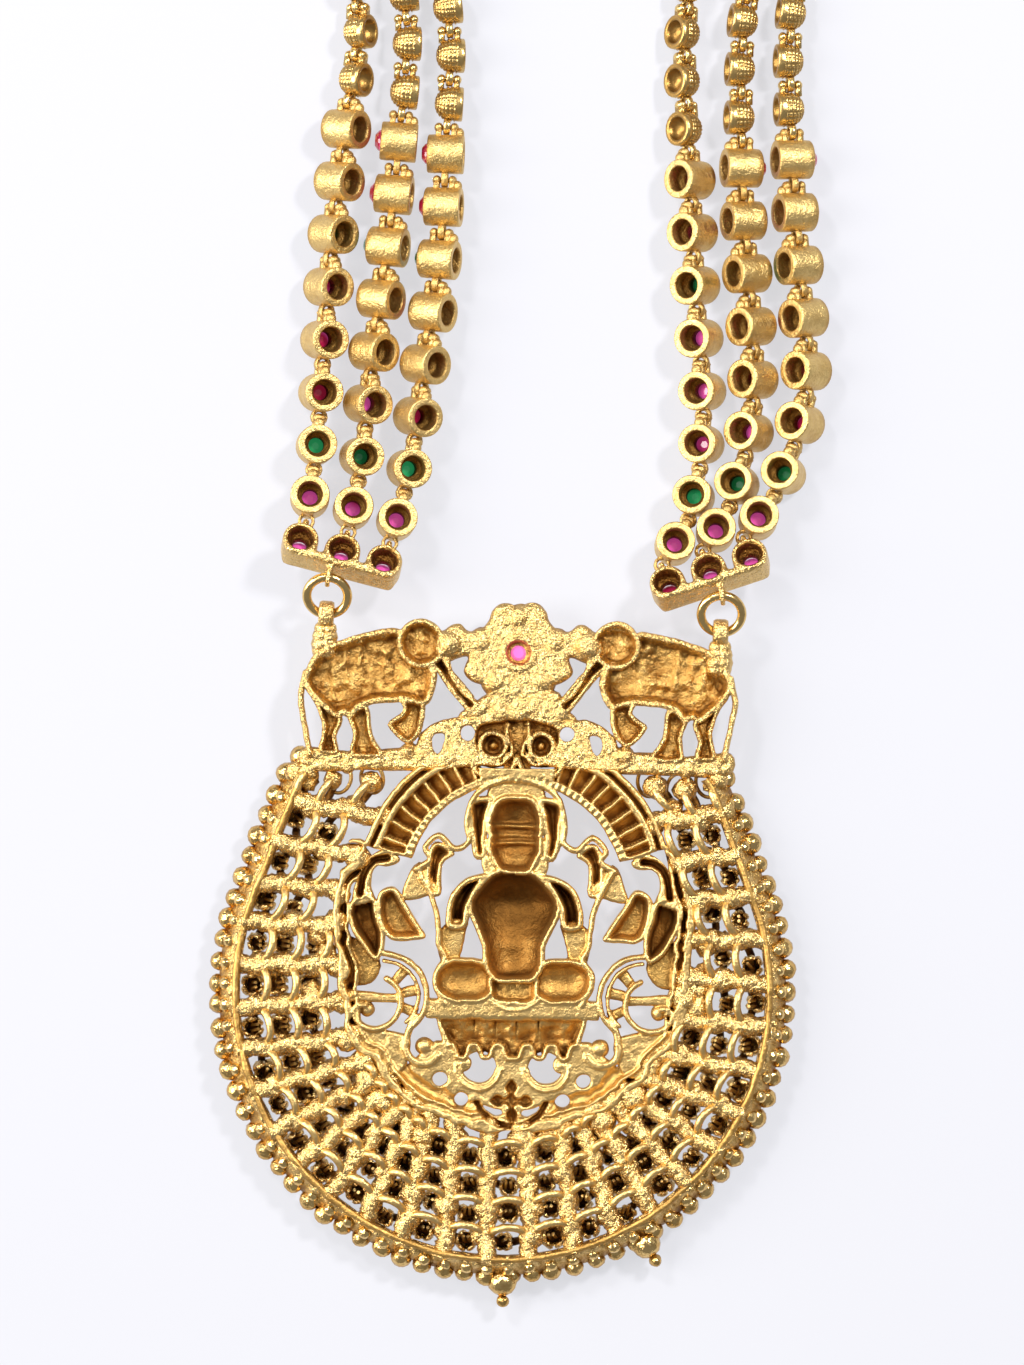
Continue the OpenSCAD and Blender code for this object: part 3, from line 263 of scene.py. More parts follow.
def mesh_from_arrays(name, points, face_groups, hollow=None):
    """points in metres; face_groups are arrays of corner numbers, one array for each corner count."""
    mesh = bpy.data.meshes.new(name)
    points = np.asarray(points, np.float32)
    groups = [np.asarray(g, np.int32) for g in face_groups if len(g)]
    corners = np.concatenate([g.ravel() for g in groups])
    counts = np.concatenate([np.full(len(g), g.shape[1], np.int32) for g in groups])
    mesh.vertices.add(len(points))
    mesh.vertices.foreach_set("co", points.ravel())
    mesh.loops.add(len(corners))
    mesh.loops.foreach_set("vertex_index", corners)
    mesh.polygons.add(len(counts))
    mesh.polygons.foreach_set("loop_start", np.concatenate([[0], np.cumsum(counts)[:-1]]).astype(np.int32))
    mesh.update(calc_edges=True)
    mesh.validate()
    if hollow is not None:
        set_hollow(mesh, hollow)
    return mesh


def mesh_points(mesh):
    """The points of a mesh as an array, in metres."""
    co = np.zeros(len(mesh.vertices) * 3, np.float32)
    mesh.vertices.foreach_get("co", co)
    return co.reshape(-1, 3)


def finish_piece(name, mesh, nodes, material=None, smooth=True):
    """Puts a finished mesh on the object, in the place of CAD nodes."""
    if material is not None:
        mesh.materials.clear()
        mesh.materials.append(material)
    mesh.polygons.foreach_set("use_smooth", np.full(len(mesh.polygons), smooth))
    piece = bpy.data.objects.new(name, mesh)
    bpy.context.scene.collection.objects.link(piece)
    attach(piece, "root")
    if nodes:
        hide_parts(*nodes)
    mesh.calc_loop_triangles()
    print(name, len(mesh.loop_triangles), "triangles")
    return piece


def paint_shade_by_height(mesh, high, low):
    """Painted shade by height: points below `low` mm are hollow 1, above `high` mm are 0."""
    z = mesh_points(mesh)[:, 2] / MM
    set_hollow(mesh, (high - z) / (high - low))


# %% [markdown]
# ## Geometry Nodes: cast wire
# Lattice bars, ring staples and ridge wires are all a round section along a line, with the bumpy
# skin of a casting. One tree makes them all from a mesh of plain lines: it turns the lines to
# curves, sweeps a circle of the chosen thickness, scaled by each line's own `girth`, and pushes
# the surface in and out with noise.

# %% The cast wire tree
def new_tree(name, inputs):
    """A geometry tree with named inputs: (name, socket type, default)."""
    tree = bpy.data.node_groups.new(name, "GeometryNodeTree")
    tree.interface.new_socket("Geometry", in_out="OUTPUT", socket_type="NodeSocketGeometry")
    tree.interface.new_socket("Geometry", in_out="INPUT", socket_type="NodeSocketGeometry")
    for label, kind, default in inputs:
        socket = tree.interface.new_socket(label, in_out="INPUT", socket_type=kind)
        if default is not None:
            socket.default_value = default
    return tree, add_node(tree, "NodeGroupInput")


GRAIN_INPUTS = [("Grain size", "NodeSocketFloat", 0.0006), ("Grain depth", "NodeSocketFloat", 0.0001),
                ("Material", "NodeSocketMaterial", None)]


def grainy_end(tree, inputs, shape):
    """Ends a tree: noise pushes the skin along its normal, then the material is set."""
    place = add_node(tree, "GeometryNodeInputPosition")
    normal = add_node(tree, "GeometryNodeInputNormal")
    wave = add_node(tree, "ShaderNodeMath", {0: 1.0, 1: (inputs, "Grain size")}, operation="DIVIDE")
    noise = add_node(tree, "ShaderNodeTexNoise", {"Vector": (place, 0), "Scale": (wave, 0), "Detail": 1.0})
    middle = add_node(tree, "ShaderNodeMath", {0: (noise, "Fac"), 1: 0.5}, operation="SUBTRACT")
    push = add_node(tree, "ShaderNodeMath",
                    {0: (middle, 0), 1: (inputs, "Grain depth")}, operation="MULTIPLY")
    offset = add_node(tree, "ShaderNodeVectorMath", {0: (normal, 0), "Scale": (push, 0)}, operation="SCALE")
    moved = add_node(tree, "GeometryNodeSetPosition", {"Geometry": shape, "Offset": (offset, 0)})
    dressed = add_node(tree, "GeometryNodeSetMaterial",
                       {"Geometry": (moved, 0), "Material": (inputs, "Material")})
    add_node(tree, "NodeGroupOutput", {"Geometry": (dressed, 0)})


WIRE_INPUTS = [("Thickness", "NodeSocketFloat", 0.0004), ("Sides", "NodeSocketInt", 8)] + GRAIN_INPUTS
wire_tree, given = new_tree("cast_wire", WIRE_INPUTS)
lines = add_node(wire_tree, "GeometryNodeMeshToCurve", {"Mesh": (given, "Geometry")})
girth = add_node(wire_tree, "GeometryNodeInputNamedAttribute", {"Name": "girth"}, data_type="FLOAT")
sized = add_node(wire_tree, "GeometryNodeSetCurveRadius", {"Curve": (lines, 0), "Radius": (girth, 0)})
section = add_node(wire_tree, "GeometryNodeCurvePrimitiveCircle",
                   {"Resolution": (given, "Sides"), "Radius": (given, "Thickness")})
swept = add_node(wire_tree, "GeometryNodeCurveToMesh",
                 {"Curve": (sized, 0), "Profile Curve": (section, 0), "Fill Caps": True})
grainy_end(wire_tree, given, (swept, 0))


def grow(tree, carrier, values):
    """Runs a tree on an object and returns the plain mesh it makes."""
    names = {s.name: s.identifier for s in tree.interface.items_tree if s.in_out == "INPUT"}
    modifier = carrier.modifiers.new("grow", "NODES")
    modifier.node_group = tree
    for label, value in values.items():
        modifier[names[label]] = value
    bpy.context.view_layer.update()
    seen = carrier.evaluated_get(bpy.context.evaluated_depsgraph_get())
    mesh = bpy.data.meshes.new_from_object(seen)
    carrier.modifiers.remove(modifier)
    bpy.data.objects.remove(carrier)
    return mesh


def line_object(name, paths, girths=None):
    """Plain open or closed lines, in metres: a path whose ends meet is closed."""
    points, edges, sizes, start = [], [], [], 0
    for number, path in enumerate(paths):
        path = np.asarray(path)
        closed = np.linalg.norm(path[0] - path[-1]) < 1e-9
        path = path[:-1] if closed else path
        n = len(path)
        points.append(path)
        edges += [(start + i, start + i + 1) for i in range(n - 1)]
        edges += [(start + n - 1, start)] if closed else []
        sizes.append(np.full(n, 1.0) if girths is None else np.broadcast_to(girths[number], n))
        start += n
    mesh = bpy.data.meshes.new(name)
    mesh.from_pydata(np.concatenate(points).tolist(), edges, [])
    girth_of_points = mesh.attributes.new("girth", "FLOAT", "POINT")
    girth_of_points.data.foreach_set("value", np.concatenate(sizes).astype(np.float32))
    carrier = bpy.data.objects.new(name, mesh)
    bpy.context.scene.collection.objects.link(carrier)
    return carrier


# %% [markdown]
# ## Geometry Nodes: pieces set on points
# Beads, florets, stones and links are one shape set many times. This tree puts an object on each
# point, turned by the point's `turn` and scaled by its `size`, makes the copies real, because an
# export would drop instances, and gives them the same grainy skin.

# %% The setting tree
setting_tree, given = new_tree("set_on_points", [("Shape", "NodeSocketObject", None)] + GRAIN_INPUTS)
shape_info = add_node(setting_tree, "GeometryNodeObjectInfo", {"Object": (given, "Shape")})
spots = add_node(setting_tree, "GeometryNodeMeshToPoints", {"Mesh": (given, "Geometry")})
turns = add_node(setting_tree, "GeometryNodeInputNamedAttribute",
                 {"Name": "turn"}, data_type="FLOAT_VECTOR")
sizes = add_node(setting_tree, "GeometryNodeInputNamedAttribute", {"Name": "size"}, data_type="FLOAT")
copies = add_node(setting_tree, "GeometryNodeInstanceOnPoints",
                  {"Points": (spots, 0), "Instance": (shape_info, "Geometry"), "Rotation": (turns, 0),
                   "Scale": (sizes, 0)})
made_real = add_node(setting_tree, "GeometryNodeRealizeInstances", {"Geometry": (copies, 0)})
grainy_end(setting_tree, given, (made_real, 0))


def point_object(name, points, turn=None, size=1.0):
    """Points in metres, with the turn (Euler angles) and the size of what is set on each."""
    mesh = bpy.data.meshes.new(name)
    points = np.asarray(points, float)
    mesh.from_pydata(points.tolist(), [], [])
    turn = np.zeros((len(points), 3)) if turn is None else np.asarray(turn)
    turn_of_points = mesh.attributes.new("turn", "FLOAT_VECTOR", "POINT")
    turn_of_points.data.foreach_set("vector", turn.astype(np.float32).ravel())
    sizes = np.broadcast_to(np.asarray(size, np.float32), len(points))
    mesh.attributes.new("size", "FLOAT", "POINT").data.foreach_set("value", np.ascontiguousarray(sizes))
    carrier = bpy.data.objects.new(name, mesh)
    bpy.context.scene.collection.objects.link(carrier)
    return carrier


def pattern_object(name, mesh):
    """A shape to set on points. It is taken away again when the pieces are made."""
    shape = bpy.data.objects.new(name, mesh)
    bpy.context.scene.collection.objects.link(shape)
    return shape


# %% [markdown]
# ## Turned shapes
# A bead, a collet or a bezel is turned on a lathe. `turned` sweeps a section of (radius,
# height) pairs round an axis, and `gathered` joins several such shapes into one mesh.

# %% Turned shapes
def turned(section, around, closed=False):
    """Points and faces of a section of (radius, height) pairs turned round the z axis, in mm."""
    angles = np.arange(around) * 2 * math.pi / around
    rows, faces, ids = [], [], []
    for radius, height in section:
        if radius < 1e-6 and not closed:
            ids.append([len(rows)] * around)
            rows.append((0, 0, height))
        else:
            ids.append(list(range(len(rows), len(rows) + around)))
            rows += [(radius * math.cos(a), radius * math.sin(a), height) for a in angles]
    pairs = list(zip(ids, ids[1:])) + ([(ids[-1], ids[0])] if closed else [])
    for low, high in pairs:
        for i in range(around):
            j = (i + 1) % around
            corners = [low[i], low[j], high[j], high[i]]
            kept = [c for n, c in enumerate(corners) if c != corners[n - 1]]
            faces.append(kept)
    return np.array(rows, float), faces


def gathered(name, shapes):
    """One mesh of several (points in mm, faces) shapes."""
    points, faces, start = [], [], 0
    for p, f in shapes:
        points.append(p)
        faces += [[c + start for c in face] for face in f]
        start += len(p)
    mesh = bpy.data.meshes.new(name)
    mesh.from_pydata((np.concatenate(points) * MM).tolist(), [], faces)
    mesh.update()
    return mesh


def faces_outward(mesh):
    """Turns every face of a closed mesh outwards."""
    work = bmesh.new()
    work.from_mesh(mesh)
    bmesh.ops.recalc_face_normals(work, faces=work.faces)
    work.to_mesh(mesh)
    work.free()


def moved(shape, matrix):
    """A shape of points and faces, moved by a matrix."""
    points, faces = shape
    m = np.array(matrix)
    out = points @ m[:3, :3].T + m[:3, 3]
    if np.linalg.det(m[:3, :3]) < 0:
        faces = [f[::-1] for f in faces]
    return out, faces


def ball(radius, around=14, rows=8):
    """A plain ball, turned round z."""
    angles = np.linspace(-math.pi / 2, math.pi / 2, rows + 1)
    section = [(max(radius * math.cos(a), 0) if 0 < i < rows else 0, radius * math.sin(a))
               for i, a in enumerate(angles)]
    return turned(section, around)


bead_shape = pattern_object("bead_pattern", gathered("bead_pattern", [ball(1.0)]))

# %% [markdown]
# ## The cast relief as two height fields
# Most of the pendant is a thin casting, open in a hundred places, hollow behind and raised in
# front. It could be modelled piece by piece, but a height field fits what it is: for each place
# on a fine grid there is a back surface, a front surface, and a distance to the nearest edge.
# Outlines raise walls, sink floors or pierce holes. The grid's edge is then cut along the zero
# line of the distance, so that outlines stay smooth, and the two surfaces are closed by a wall.

# %% Distances to outlines
def between(a, b, c, d, f):
    """A place between b and c on a smooth curve through four points."""
    bend = 2 * a - 5 * b + 4 * c - d
    return 0.5 * (2 * b + (c - a) * f + bend * f * f + (3 * b - a - 3 * c + d) * f ** 3)


def curved(points, closed=True, steps=4):
    """A smooth line through points."""
    p = np.asarray(points, float)
    n = len(p)
    out = []
    for i in range(n if closed else n - 1):
        at = [p[(i + k) % n] if closed else p[min(max(i + k, 0), n - 1)] for k in (-1, 0, 1, 2)]
        out += [between(*at, f) for f in np.arange(steps) / steps]
    return np.array(out if closed else out + [p[-1]])


def outline_distance(x, y, line, closed=True):
    """Distance from each place to a line; inside a closed outline it is negative."""
    near = np.full(x.shape, 1e9)
    inside = np.zeros(x.shape, bool)
    ends = np.roll(line, -1, axis=0) if closed else line[1:]
    for (ax, ay), (bx, by) in zip(line, ends):
        ux, uy = bx - ax, by - ay
        t = np.clip(((x - ax) * ux + (y - ay) * uy) / max(ux * ux + uy * uy, 1e-12), 0, 1)
        near = np.minimum(near, (x - ax - t * ux) ** 2 + (y - ay - t * uy) ** 2)
        if closed and uy != 0:
            inside ^= ((ay > y) != (by > y)) & (x < ax + (y - ay) * ux / uy)
    return np.where(inside, -1, 1) * np.sqrt(near)


def round_edge(depth, radius):
    """How far a rounded edge has fallen below the top, at a depth in from the edge."""
    return radius - np.sqrt(np.maximum(radius ** 2 - np.clip(radius - depth, 0, radius) ** 2, 0))


def patchy(x, y, size, seed):
    """Smooth seeded noise between -0.5 and 0.5."""
    table = np.random.default_rng(seed).random((128, 128))
    c, s = math.cos(0.4 + seed), math.sin(0.4 + seed)
    u, v = (x * c - y * s) / size, (x * s + y * c) / size
    i, j = np.floor(u).astype(int), np.floor(v).astype(int)
    f, g = u - i, v - j
    f, g = f * f * (3 - 2 * f), g * g * (3 - 2 * g)
    pick = lambda a, b: table[(i + a) % 128, (j + b) % 128]
    low = pick(0, 0) * (1 - f) + pick(1, 0) * f
    high = pick(0, 1) * (1 - f) + pick(1, 1) * f
    return low * (1 - g) + high * g - 0.5


# %% [markdown]
# A real casting gets its form in wax: strips are laid on, bowls are pressed in, holes are cut.
# The class below has one call for each. `lay` adds metal up to a height, `sink` takes it away
# down to a floor and `pierce` cuts through. Noise bends the outlines a little, because no wax
# strip is quite straight.

# %% Raising, sinking and piercing
class Casting:
    """A thin casting on a grid: back surface, front surface and distance to its edge, in mm."""

    def __init__(self, x0, x1, y0, y1, step):
        self.x0, self.y0, self.step = x0, y0, step
        self.x, self.y = np.meshgrid(np.arange(x0, x1, step), np.arange(y0, y1, step), indexing="ij")
        self.u = self.x + 0.22 * patchy(self.x, self.y, 2.3, 1) + 0.1 * patchy(self.x, self.y, 0.8, 2)
        self.v = self.y + 0.22 * patchy(self.x, self.y, 2.3, 3) + 0.1 * patchy(self.x, self.y, 0.8, 4)
        self.back = np.full(self.x.shape, -9.0)
        self.front = np.full(self.x.shape, 9.0)
        self.edge = np.full(self.x.shape, 9.0)
        self.lumps = np.zeros(self.x.shape)

    def near(self, line, reach=1.0):
        """The part of the grid that lies round a line, to save work."""
        low, high = np.min(line, 0) - reach, np.max(line, 0) + reach
        spans = [slice(max(int((low[k] - o) / self.step), 0), max(int((high[k] - o) / self.step) + 2, 0))
                 for k, o in ((0, self.x0), (1, self.y0))]
        return tuple(spans)

    def lay(self, w, d, top, front, soft=0.32):
        """Lays a form with a flat top and a soft edge."""
        back = top - round_edge(-d, soft)
        bulge = front + round_edge(-d, 1)
        inside = d < 0
        self.back[w] = np.where(inside, np.maximum(self.back[w], back), self.back[w])
        self.front[w] = np.where(inside, np.minimum(self.front[w], bulge), self.front[w])
        self.edge[w] = np.minimum(self.edge[w], d)

    def sink(self, w, d, floor, soft=0.4):
        """Sinks the back surface to a floor, with sides that fall away over `soft`."""
        t = np.clip(-d / soft, 0, 1)
        sunk = floor + (self.back[w] - floor) * (1 - t) ** 2
        self.back[w] = np.where(d < 0, np.minimum(self.back[w], sunk), self.back[w])

    def plate(self, points, top, front=3.4, smooth=True, soft=0.35):
        """Lays a solid plate inside an outline."""
        line = curved(points) if smooth else np.array(points, float)
        w = self.near(line)
        self.lay(w, outline_distance(self.u[w], self.v[w], line), top, front, soft)

    def rib(self, points, width, top=back_z, front=3.4, soft=0.34):
        """Lays a rib along an open line."""
        line = curved(points, False)
        w = self.near(line, width)
        self.lay(w, outline_distance(self.u[w], self.v[w], line, False) - width / 2, top, front, soft)

    def shell(self, points, front, floor, top=back_z, wall=0.68, soft=0.7, lumpy=0.0, hatch=0.0):
        """Lays a hollow leaf: a thin wall along an outline round a sunk, lumpy floor."""
        line = curved(points)
        w = self.near(line)
        d = outline_distance(self.u[w], self.v[w], line)
        self.lay(w, d, top + hatch * np.sin((self.u[w] * 0.95 + self.v[w] * 0.6) * 9), front)
        self.sink(w, d + wall, floor, soft)
        self.lumps[w] = np.where(d < -wall, lumpy, self.lumps[w])

    def knob(self, x, y, radius, z):
        """Lays a ball whose middle is at height z."""
        w = self.near(np.array([[x, y]]), radius + 0.3)
        rho = np.hypot(self.u[w] - x, self.v[w] - y)
        top = z + np.sqrt(np.maximum(radius ** 2 - rho ** 2, 0))
        self.back[w] = np.where(rho < radius, np.maximum(self.back[w], top), self.back[w])
        self.front[w] = np.where(rho < radius, np.minimum(self.front[w], 2 * z - top), self.front[w])
        self.edge[w] = np.minimum(self.edge[w], rho - radius)

    def disc(self, x, y, radius, top, front=3.4):
        """Lays a round plate."""
        w = self.near(np.array([[x, y]]), radius + 0.5)
        self.lay(w, np.hypot(self.u[w] - x, self.v[w] - y) - radius, top, front)

    def dish(self, x, y, radius, floor, soft=0.5):
        """Sinks a round hollow."""
        w = self.near(np.array([[x, y]]), radius + 0.3)
        self.sink(w, np.hypot(self.u[w] - x, self.v[w] - y) - radius, floor, soft)

    def pierce(self, x, y, radius):
        """Cuts a round hole through."""
        w = self.near(np.array([[x, y]]), radius + 0.5)
        self.edge[w] = np.maximum(self.edge[w], radius - np.hypot(self.u[w] - x, self.v[w] - y))

    def pierce_outline(self, points):
        """Cuts a hole with a smooth outline through."""
        line = curved(points)
        w = self.near(line, 0.5)
        self.edge[w] = np.maximum(self.edge[w], -outline_distance(self.u[w], self.v[w], line))


# %% [markdown]
# The grid becomes a closed mesh here. Each cell is cut where the edge distance is zero, back and
# front get the same cut, and a wall joins them. Cells of one kind are worked out together,
# which takes a moment for tens of thousands of them. A place counts as hollow by how far it
# lies below the surface around it, and by how deep it lies. The colour darkens with it: painted
# shade at the feet of walls and in bowls, as well as the darkening that stays in the hollows.

# %% Closing a casting
def blurred(a, weight, steps):
    """Mean of the neighbours, by weight."""
    top, low = a * weight, weight.copy()
    for _ in range(steps):
        for axis in (0, 1):
            top = (np.roll(top, 1, axis) + top * 2 + np.roll(top, -1, axis)) / 4
            low = (np.roll(low, 1, axis) + low * 2 + np.roll(low, -1, axis)) / 4
    return top / np.maximum(low, 1e-9)


def casting_mesh(name, c, edge_soft=0.25, grain=0.045, tone=0.05):
    """Cuts the grid along the edge's zero line and closes back and front with a wall."""
    front_soft, least_metal, least_wall = 0.6, 0.62, 0.15
    inside = c.edge < 0
    inside[[0, -1]] = False
    inside[:, [0, -1]] = False
    depth = np.maximum(-c.edge, 0)
    skin = grain * (patchy(c.x, c.y, 0.42, 11) + 1.2 * patchy(c.x, c.y, 0.9, 12))
    skin += c.lumps * (patchy(c.x, c.y, 1.1, 13) + 0.7 * patchy(c.x, c.y, 0.55, 14))
    base = np.where(inside, c.back + skin, 0)
    back = base - round_edge(depth, edge_soft)
    front = np.minimum(c.front, base - least_metal)
    thin = np.minimum((base - front) / 3, 1)
    front_in = front + round_edge(depth, front_soft) * thin
    # Painted shade, with the darkening of the hollows: below the blurred surface around, and deep down.
    open_top = blurred(np.where(inside, back, 0), inside.astype(float), 16)
    below_rest = np.clip(open_top - back, 0, 1.8) * 0.42
    below_walls = np.clip((6.2 - back) * 0.16, 0, 0.7)
    hollow = np.clip(below_rest + below_walls + tone, 0, 0.9)

    ids = np.full(inside.shape, -1)
    ids[inside] = np.arange(inside.sum())
    spots = [np.stack([c.x[inside], c.y[inside]], 1)]
    backs, fronts, shades = [back[inside]], [front_in[inside]], [hollow[inside]]
    count = inside.sum()
    crossings = []
    for axis in (0, 1):
        a = (slice(None, -1), slice(None)) if axis == 0 else (slice(None), slice(None, -1))
        b = (slice(1, None), slice(None)) if axis == 0 else (slice(None), slice(1, None))
        cross = inside[a] != inside[b]
        t = np.clip(c.edge[a] / np.where(cross, c.edge[a] - c.edge[b], 1), 0.1, 0.9)[cross]
        place = [c.x[a][cross], c.y[a][cross]]
        place[axis] = place[axis] + t * c.step
        spots.append(np.stack(place, 1))
        pick = lambda field: np.where(inside[a][cross], field[a][cross], field[b][cross])
        low = pick(base) - edge_soft
        high = np.minimum(pick(front) + front_soft * pick(thin), low - least_wall)
        backs.append(low)
        fronts.append(high)
        shades.append(pick(hollow))
        table = np.full(cross.shape, -1)
        table[cross] = count + np.arange(cross.sum())
        count += cross.sum()
        crossings.append(table)
    across, along = crossings
    corner = {"a": ids[:-1, :-1], "b": ids[1:, :-1], "c": ids[1:, 1:], "d": ids[:-1, 1:],
              "ab": across[:, :-1], "bc": along[1:, :], "cd": across[:, 1:], "da": along[:-1, :]}
    case = inside[:-1, :-1] * 1 + inside[1:, :-1] * 2 + inside[1:, 1:] * 4 + inside[:-1, 1:] * 8
    faces, walls = [], []
    for number in range(1, 16):
        cells = case == number
        if not cells.any():
            continue
        on = {"a": number & 1, "b": number & 2, "c": number & 4, "d": number & 8}
        walk = [k for k in ("a", "ab", "b", "bc", "c", "cd", "d", "da")
                if (on[k] if len(k) == 1 else bool(on[k[0]]) != bool(on[k[1]]))]
        face = np.stack([corner[k][cells] for k in walk], 1)
        faces.append(face)
        for k in range(len(walk)):
            if len(walk[k]) == 2 and len(walk[(k + 1) % len(walk)]) == 2:
                walls.append(np.stack([face[:, (k + 1) % len(walk)], face[:, k]], 1))
    walls = np.concatenate(walls)
    spots = np.concatenate(spots)
    points = np.concatenate([np.column_stack([spots, np.concatenate(heights)])
                             for heights in (backs, fronts)])
    shade = np.tile(np.concatenate(shades), 2)
    by_size = {}
    for f in faces:
        by_size.setdefault(f.shape[1], []).extend([f, f[:, ::-1] + count])
    by_size.setdefault(4, []).append(np.column_stack([walls, walls[:, ::-1] + count]))
    face_groups = [np.concatenate(g) for g in by_size.values()]
    return mesh_from_arrays(name, placed(points, from_motif=True), face_groups, shade)


def mirrored(points, side):
    """Points of the left half, or the same points on the right for side -1."""
    return [(x * side, y) for x, y in points]


def arc(cx, cy, radius, start, end, n=10):
    """Points along an arc, from a start to an end angle in degrees."""
    return [(cx + radius * math.cos(math.radians(a)), cy + radius * math.sin(math.radians(a)))
            for a in np.linspace(start, end, n)]


# %% [markdown]
# ## The inner motif: frame, arch and figure
# The oval frame is a double wall with a groove. The arch over the figure carries eight hollow
# ribs on each side and a beaded inner edge. The figure was pressed out from behind, so its
# torso, head and knees are smooth bowls. The face is on the other side; here the head is a plain
# bowl with two bands.

# %% Frame and arch
arch_y, arch_outer, arch_inner, gadroon_turn = 13.3, 20.5, 14, 6.9
motif = Casting(-24.6, 24.6, -19.2, 29.4, 0.194)
frame_half = [(-18.3, 19.8), (-20.2, 18.7), (-21.5, 16.9), (-22.6, 14.5), (-23.4, 11.7), (-23.4, 7.9),
              (-22.8, 3.9), (-22.5, 0.6), (-22, -3.3), (-21.1, -5.9), (-19.7, -8), (-17.8, -10.1),
              (-15.8, -12.3), (-13.5, -14.2), (-10.6, -15.8), (-7.3, -17.1), (-3.4, -17.9)]
frame_line = curved(frame_half + mirrored(frame_half[::-1], -1))
everywhere = (slice(None), slice(None))
uneven = 0.9 * patchy(motif.x, motif.y, 2.6, 21) + 0.5 * patchy(motif.x, motif.y, 1.1, 22)
d_frame = outline_distance(motif.u, motif.v, frame_line) + uneven
from_arch = np.hypot(motif.u, motif.v - arch_y)
angle = np.degrees(np.arctan2(motif.v - arch_y, motif.u))
side_angle = np.where(angle < -90, 180, np.minimum(angle, 180 - angle))
frame_band = np.maximum(np.maximum(d_frame, -(d_frame + 2.1)), np.where(motif.v > 13, 20.1 - from_arch, -9))
motif.lay(everywhere, frame_band, back_z, 3.0)
groove = np.maximum(np.abs(d_frame + 1.3) - 0.36, np.where(motif.v < -16.5, 9, -9))
motif.sink(everywhere, groove, 4.6, 0.22)
sector = np.where(motif.v > arch_y, (16 - side_angle) * np.radians(1) * from_arch, 9)
arch_band = np.maximum(from_arch - arch_outer, arch_inner - from_arch)
motif.lay(everywhere, np.maximum(arch_band, sector), back_z, 3.6)
motif.sink(everywhere, np.maximum(np.abs(from_arch - 19.5) - 0.32, sector), 5.0, 0.25)
gadroon = (side_angle - 14.5) / gadroon_turn
step_on = gadroon - np.floor(gadroon)
in_band = np.maximum(np.abs(from_arch - 16.75) - 1.65, sector + 0.4)
motif.sink(everywhere, np.maximum(in_band, (side_angle - 72) * 0.3), 4.3 + 1.3 * step_on ** 1.5, 0.3)
rib_wall = np.minimum(step_on, 1 - step_on) * gadroon_turn * np.radians(1) * from_arch - 0.27
motif.lay(everywhere, np.where(side_angle < 72, np.maximum(in_band, rib_wall), 9), 6.25, 3.6)
bead_wave = 0.28 * (0.5 - 0.5 * np.cos(np.radians(angle) * 100))
motif.back = motif.back - np.where((from_arch < 14.9) & (sector < 0), bead_wave, 0)
print("frame and arch laid")

# %% [markdown]
# From behind, a pressed figure is a set of bowls. Torso, head and knees are each turned round a
# line, so `spun_bowl` works out a bowl's depth from its half width. Arms, hair and halo are
# hollow leaves and ribs that are laid around them.

# %% The seated figure
def spun_bowl(c, line, centre, axis, z_axis, ratio, rim=0.6, front=2.6, top=back_z):
    """A bowl turned round a line in the plane: (half width, place along the axis) pairs."""
    across, along = c.u - centre[0], c.v - centre[1]
    if axis == "x":
        across, along = along, across
    line = sorted(line, key=lambda p: p[1])
    place = np.array([p[1] for p in line])
    width = np.array([p[0] for p in line])
    outline = curved([(w, p) for w, p in line] + [(-w, p) for w, p in line[::-1]], True, 3)
    d = outline_distance(across, along, outline)
    c.lay(everywhere, d - rim, top, front)
    side_line = curved(np.column_stack([width, place]), False, 8)
    radius = np.maximum(np.interp(along, side_line[:, 1], side_line[:, 0]), 0.2)
    round_depth = np.sqrt(np.maximum(radius ** 2 - across ** 2, 0))
    bowl = z_axis - ratio * round_depth * np.clip(-d / 0.5, 0, 1) ** 0.5
    c.back = np.where(d < 0, np.minimum(c.back, bowl), c.back)
    return d


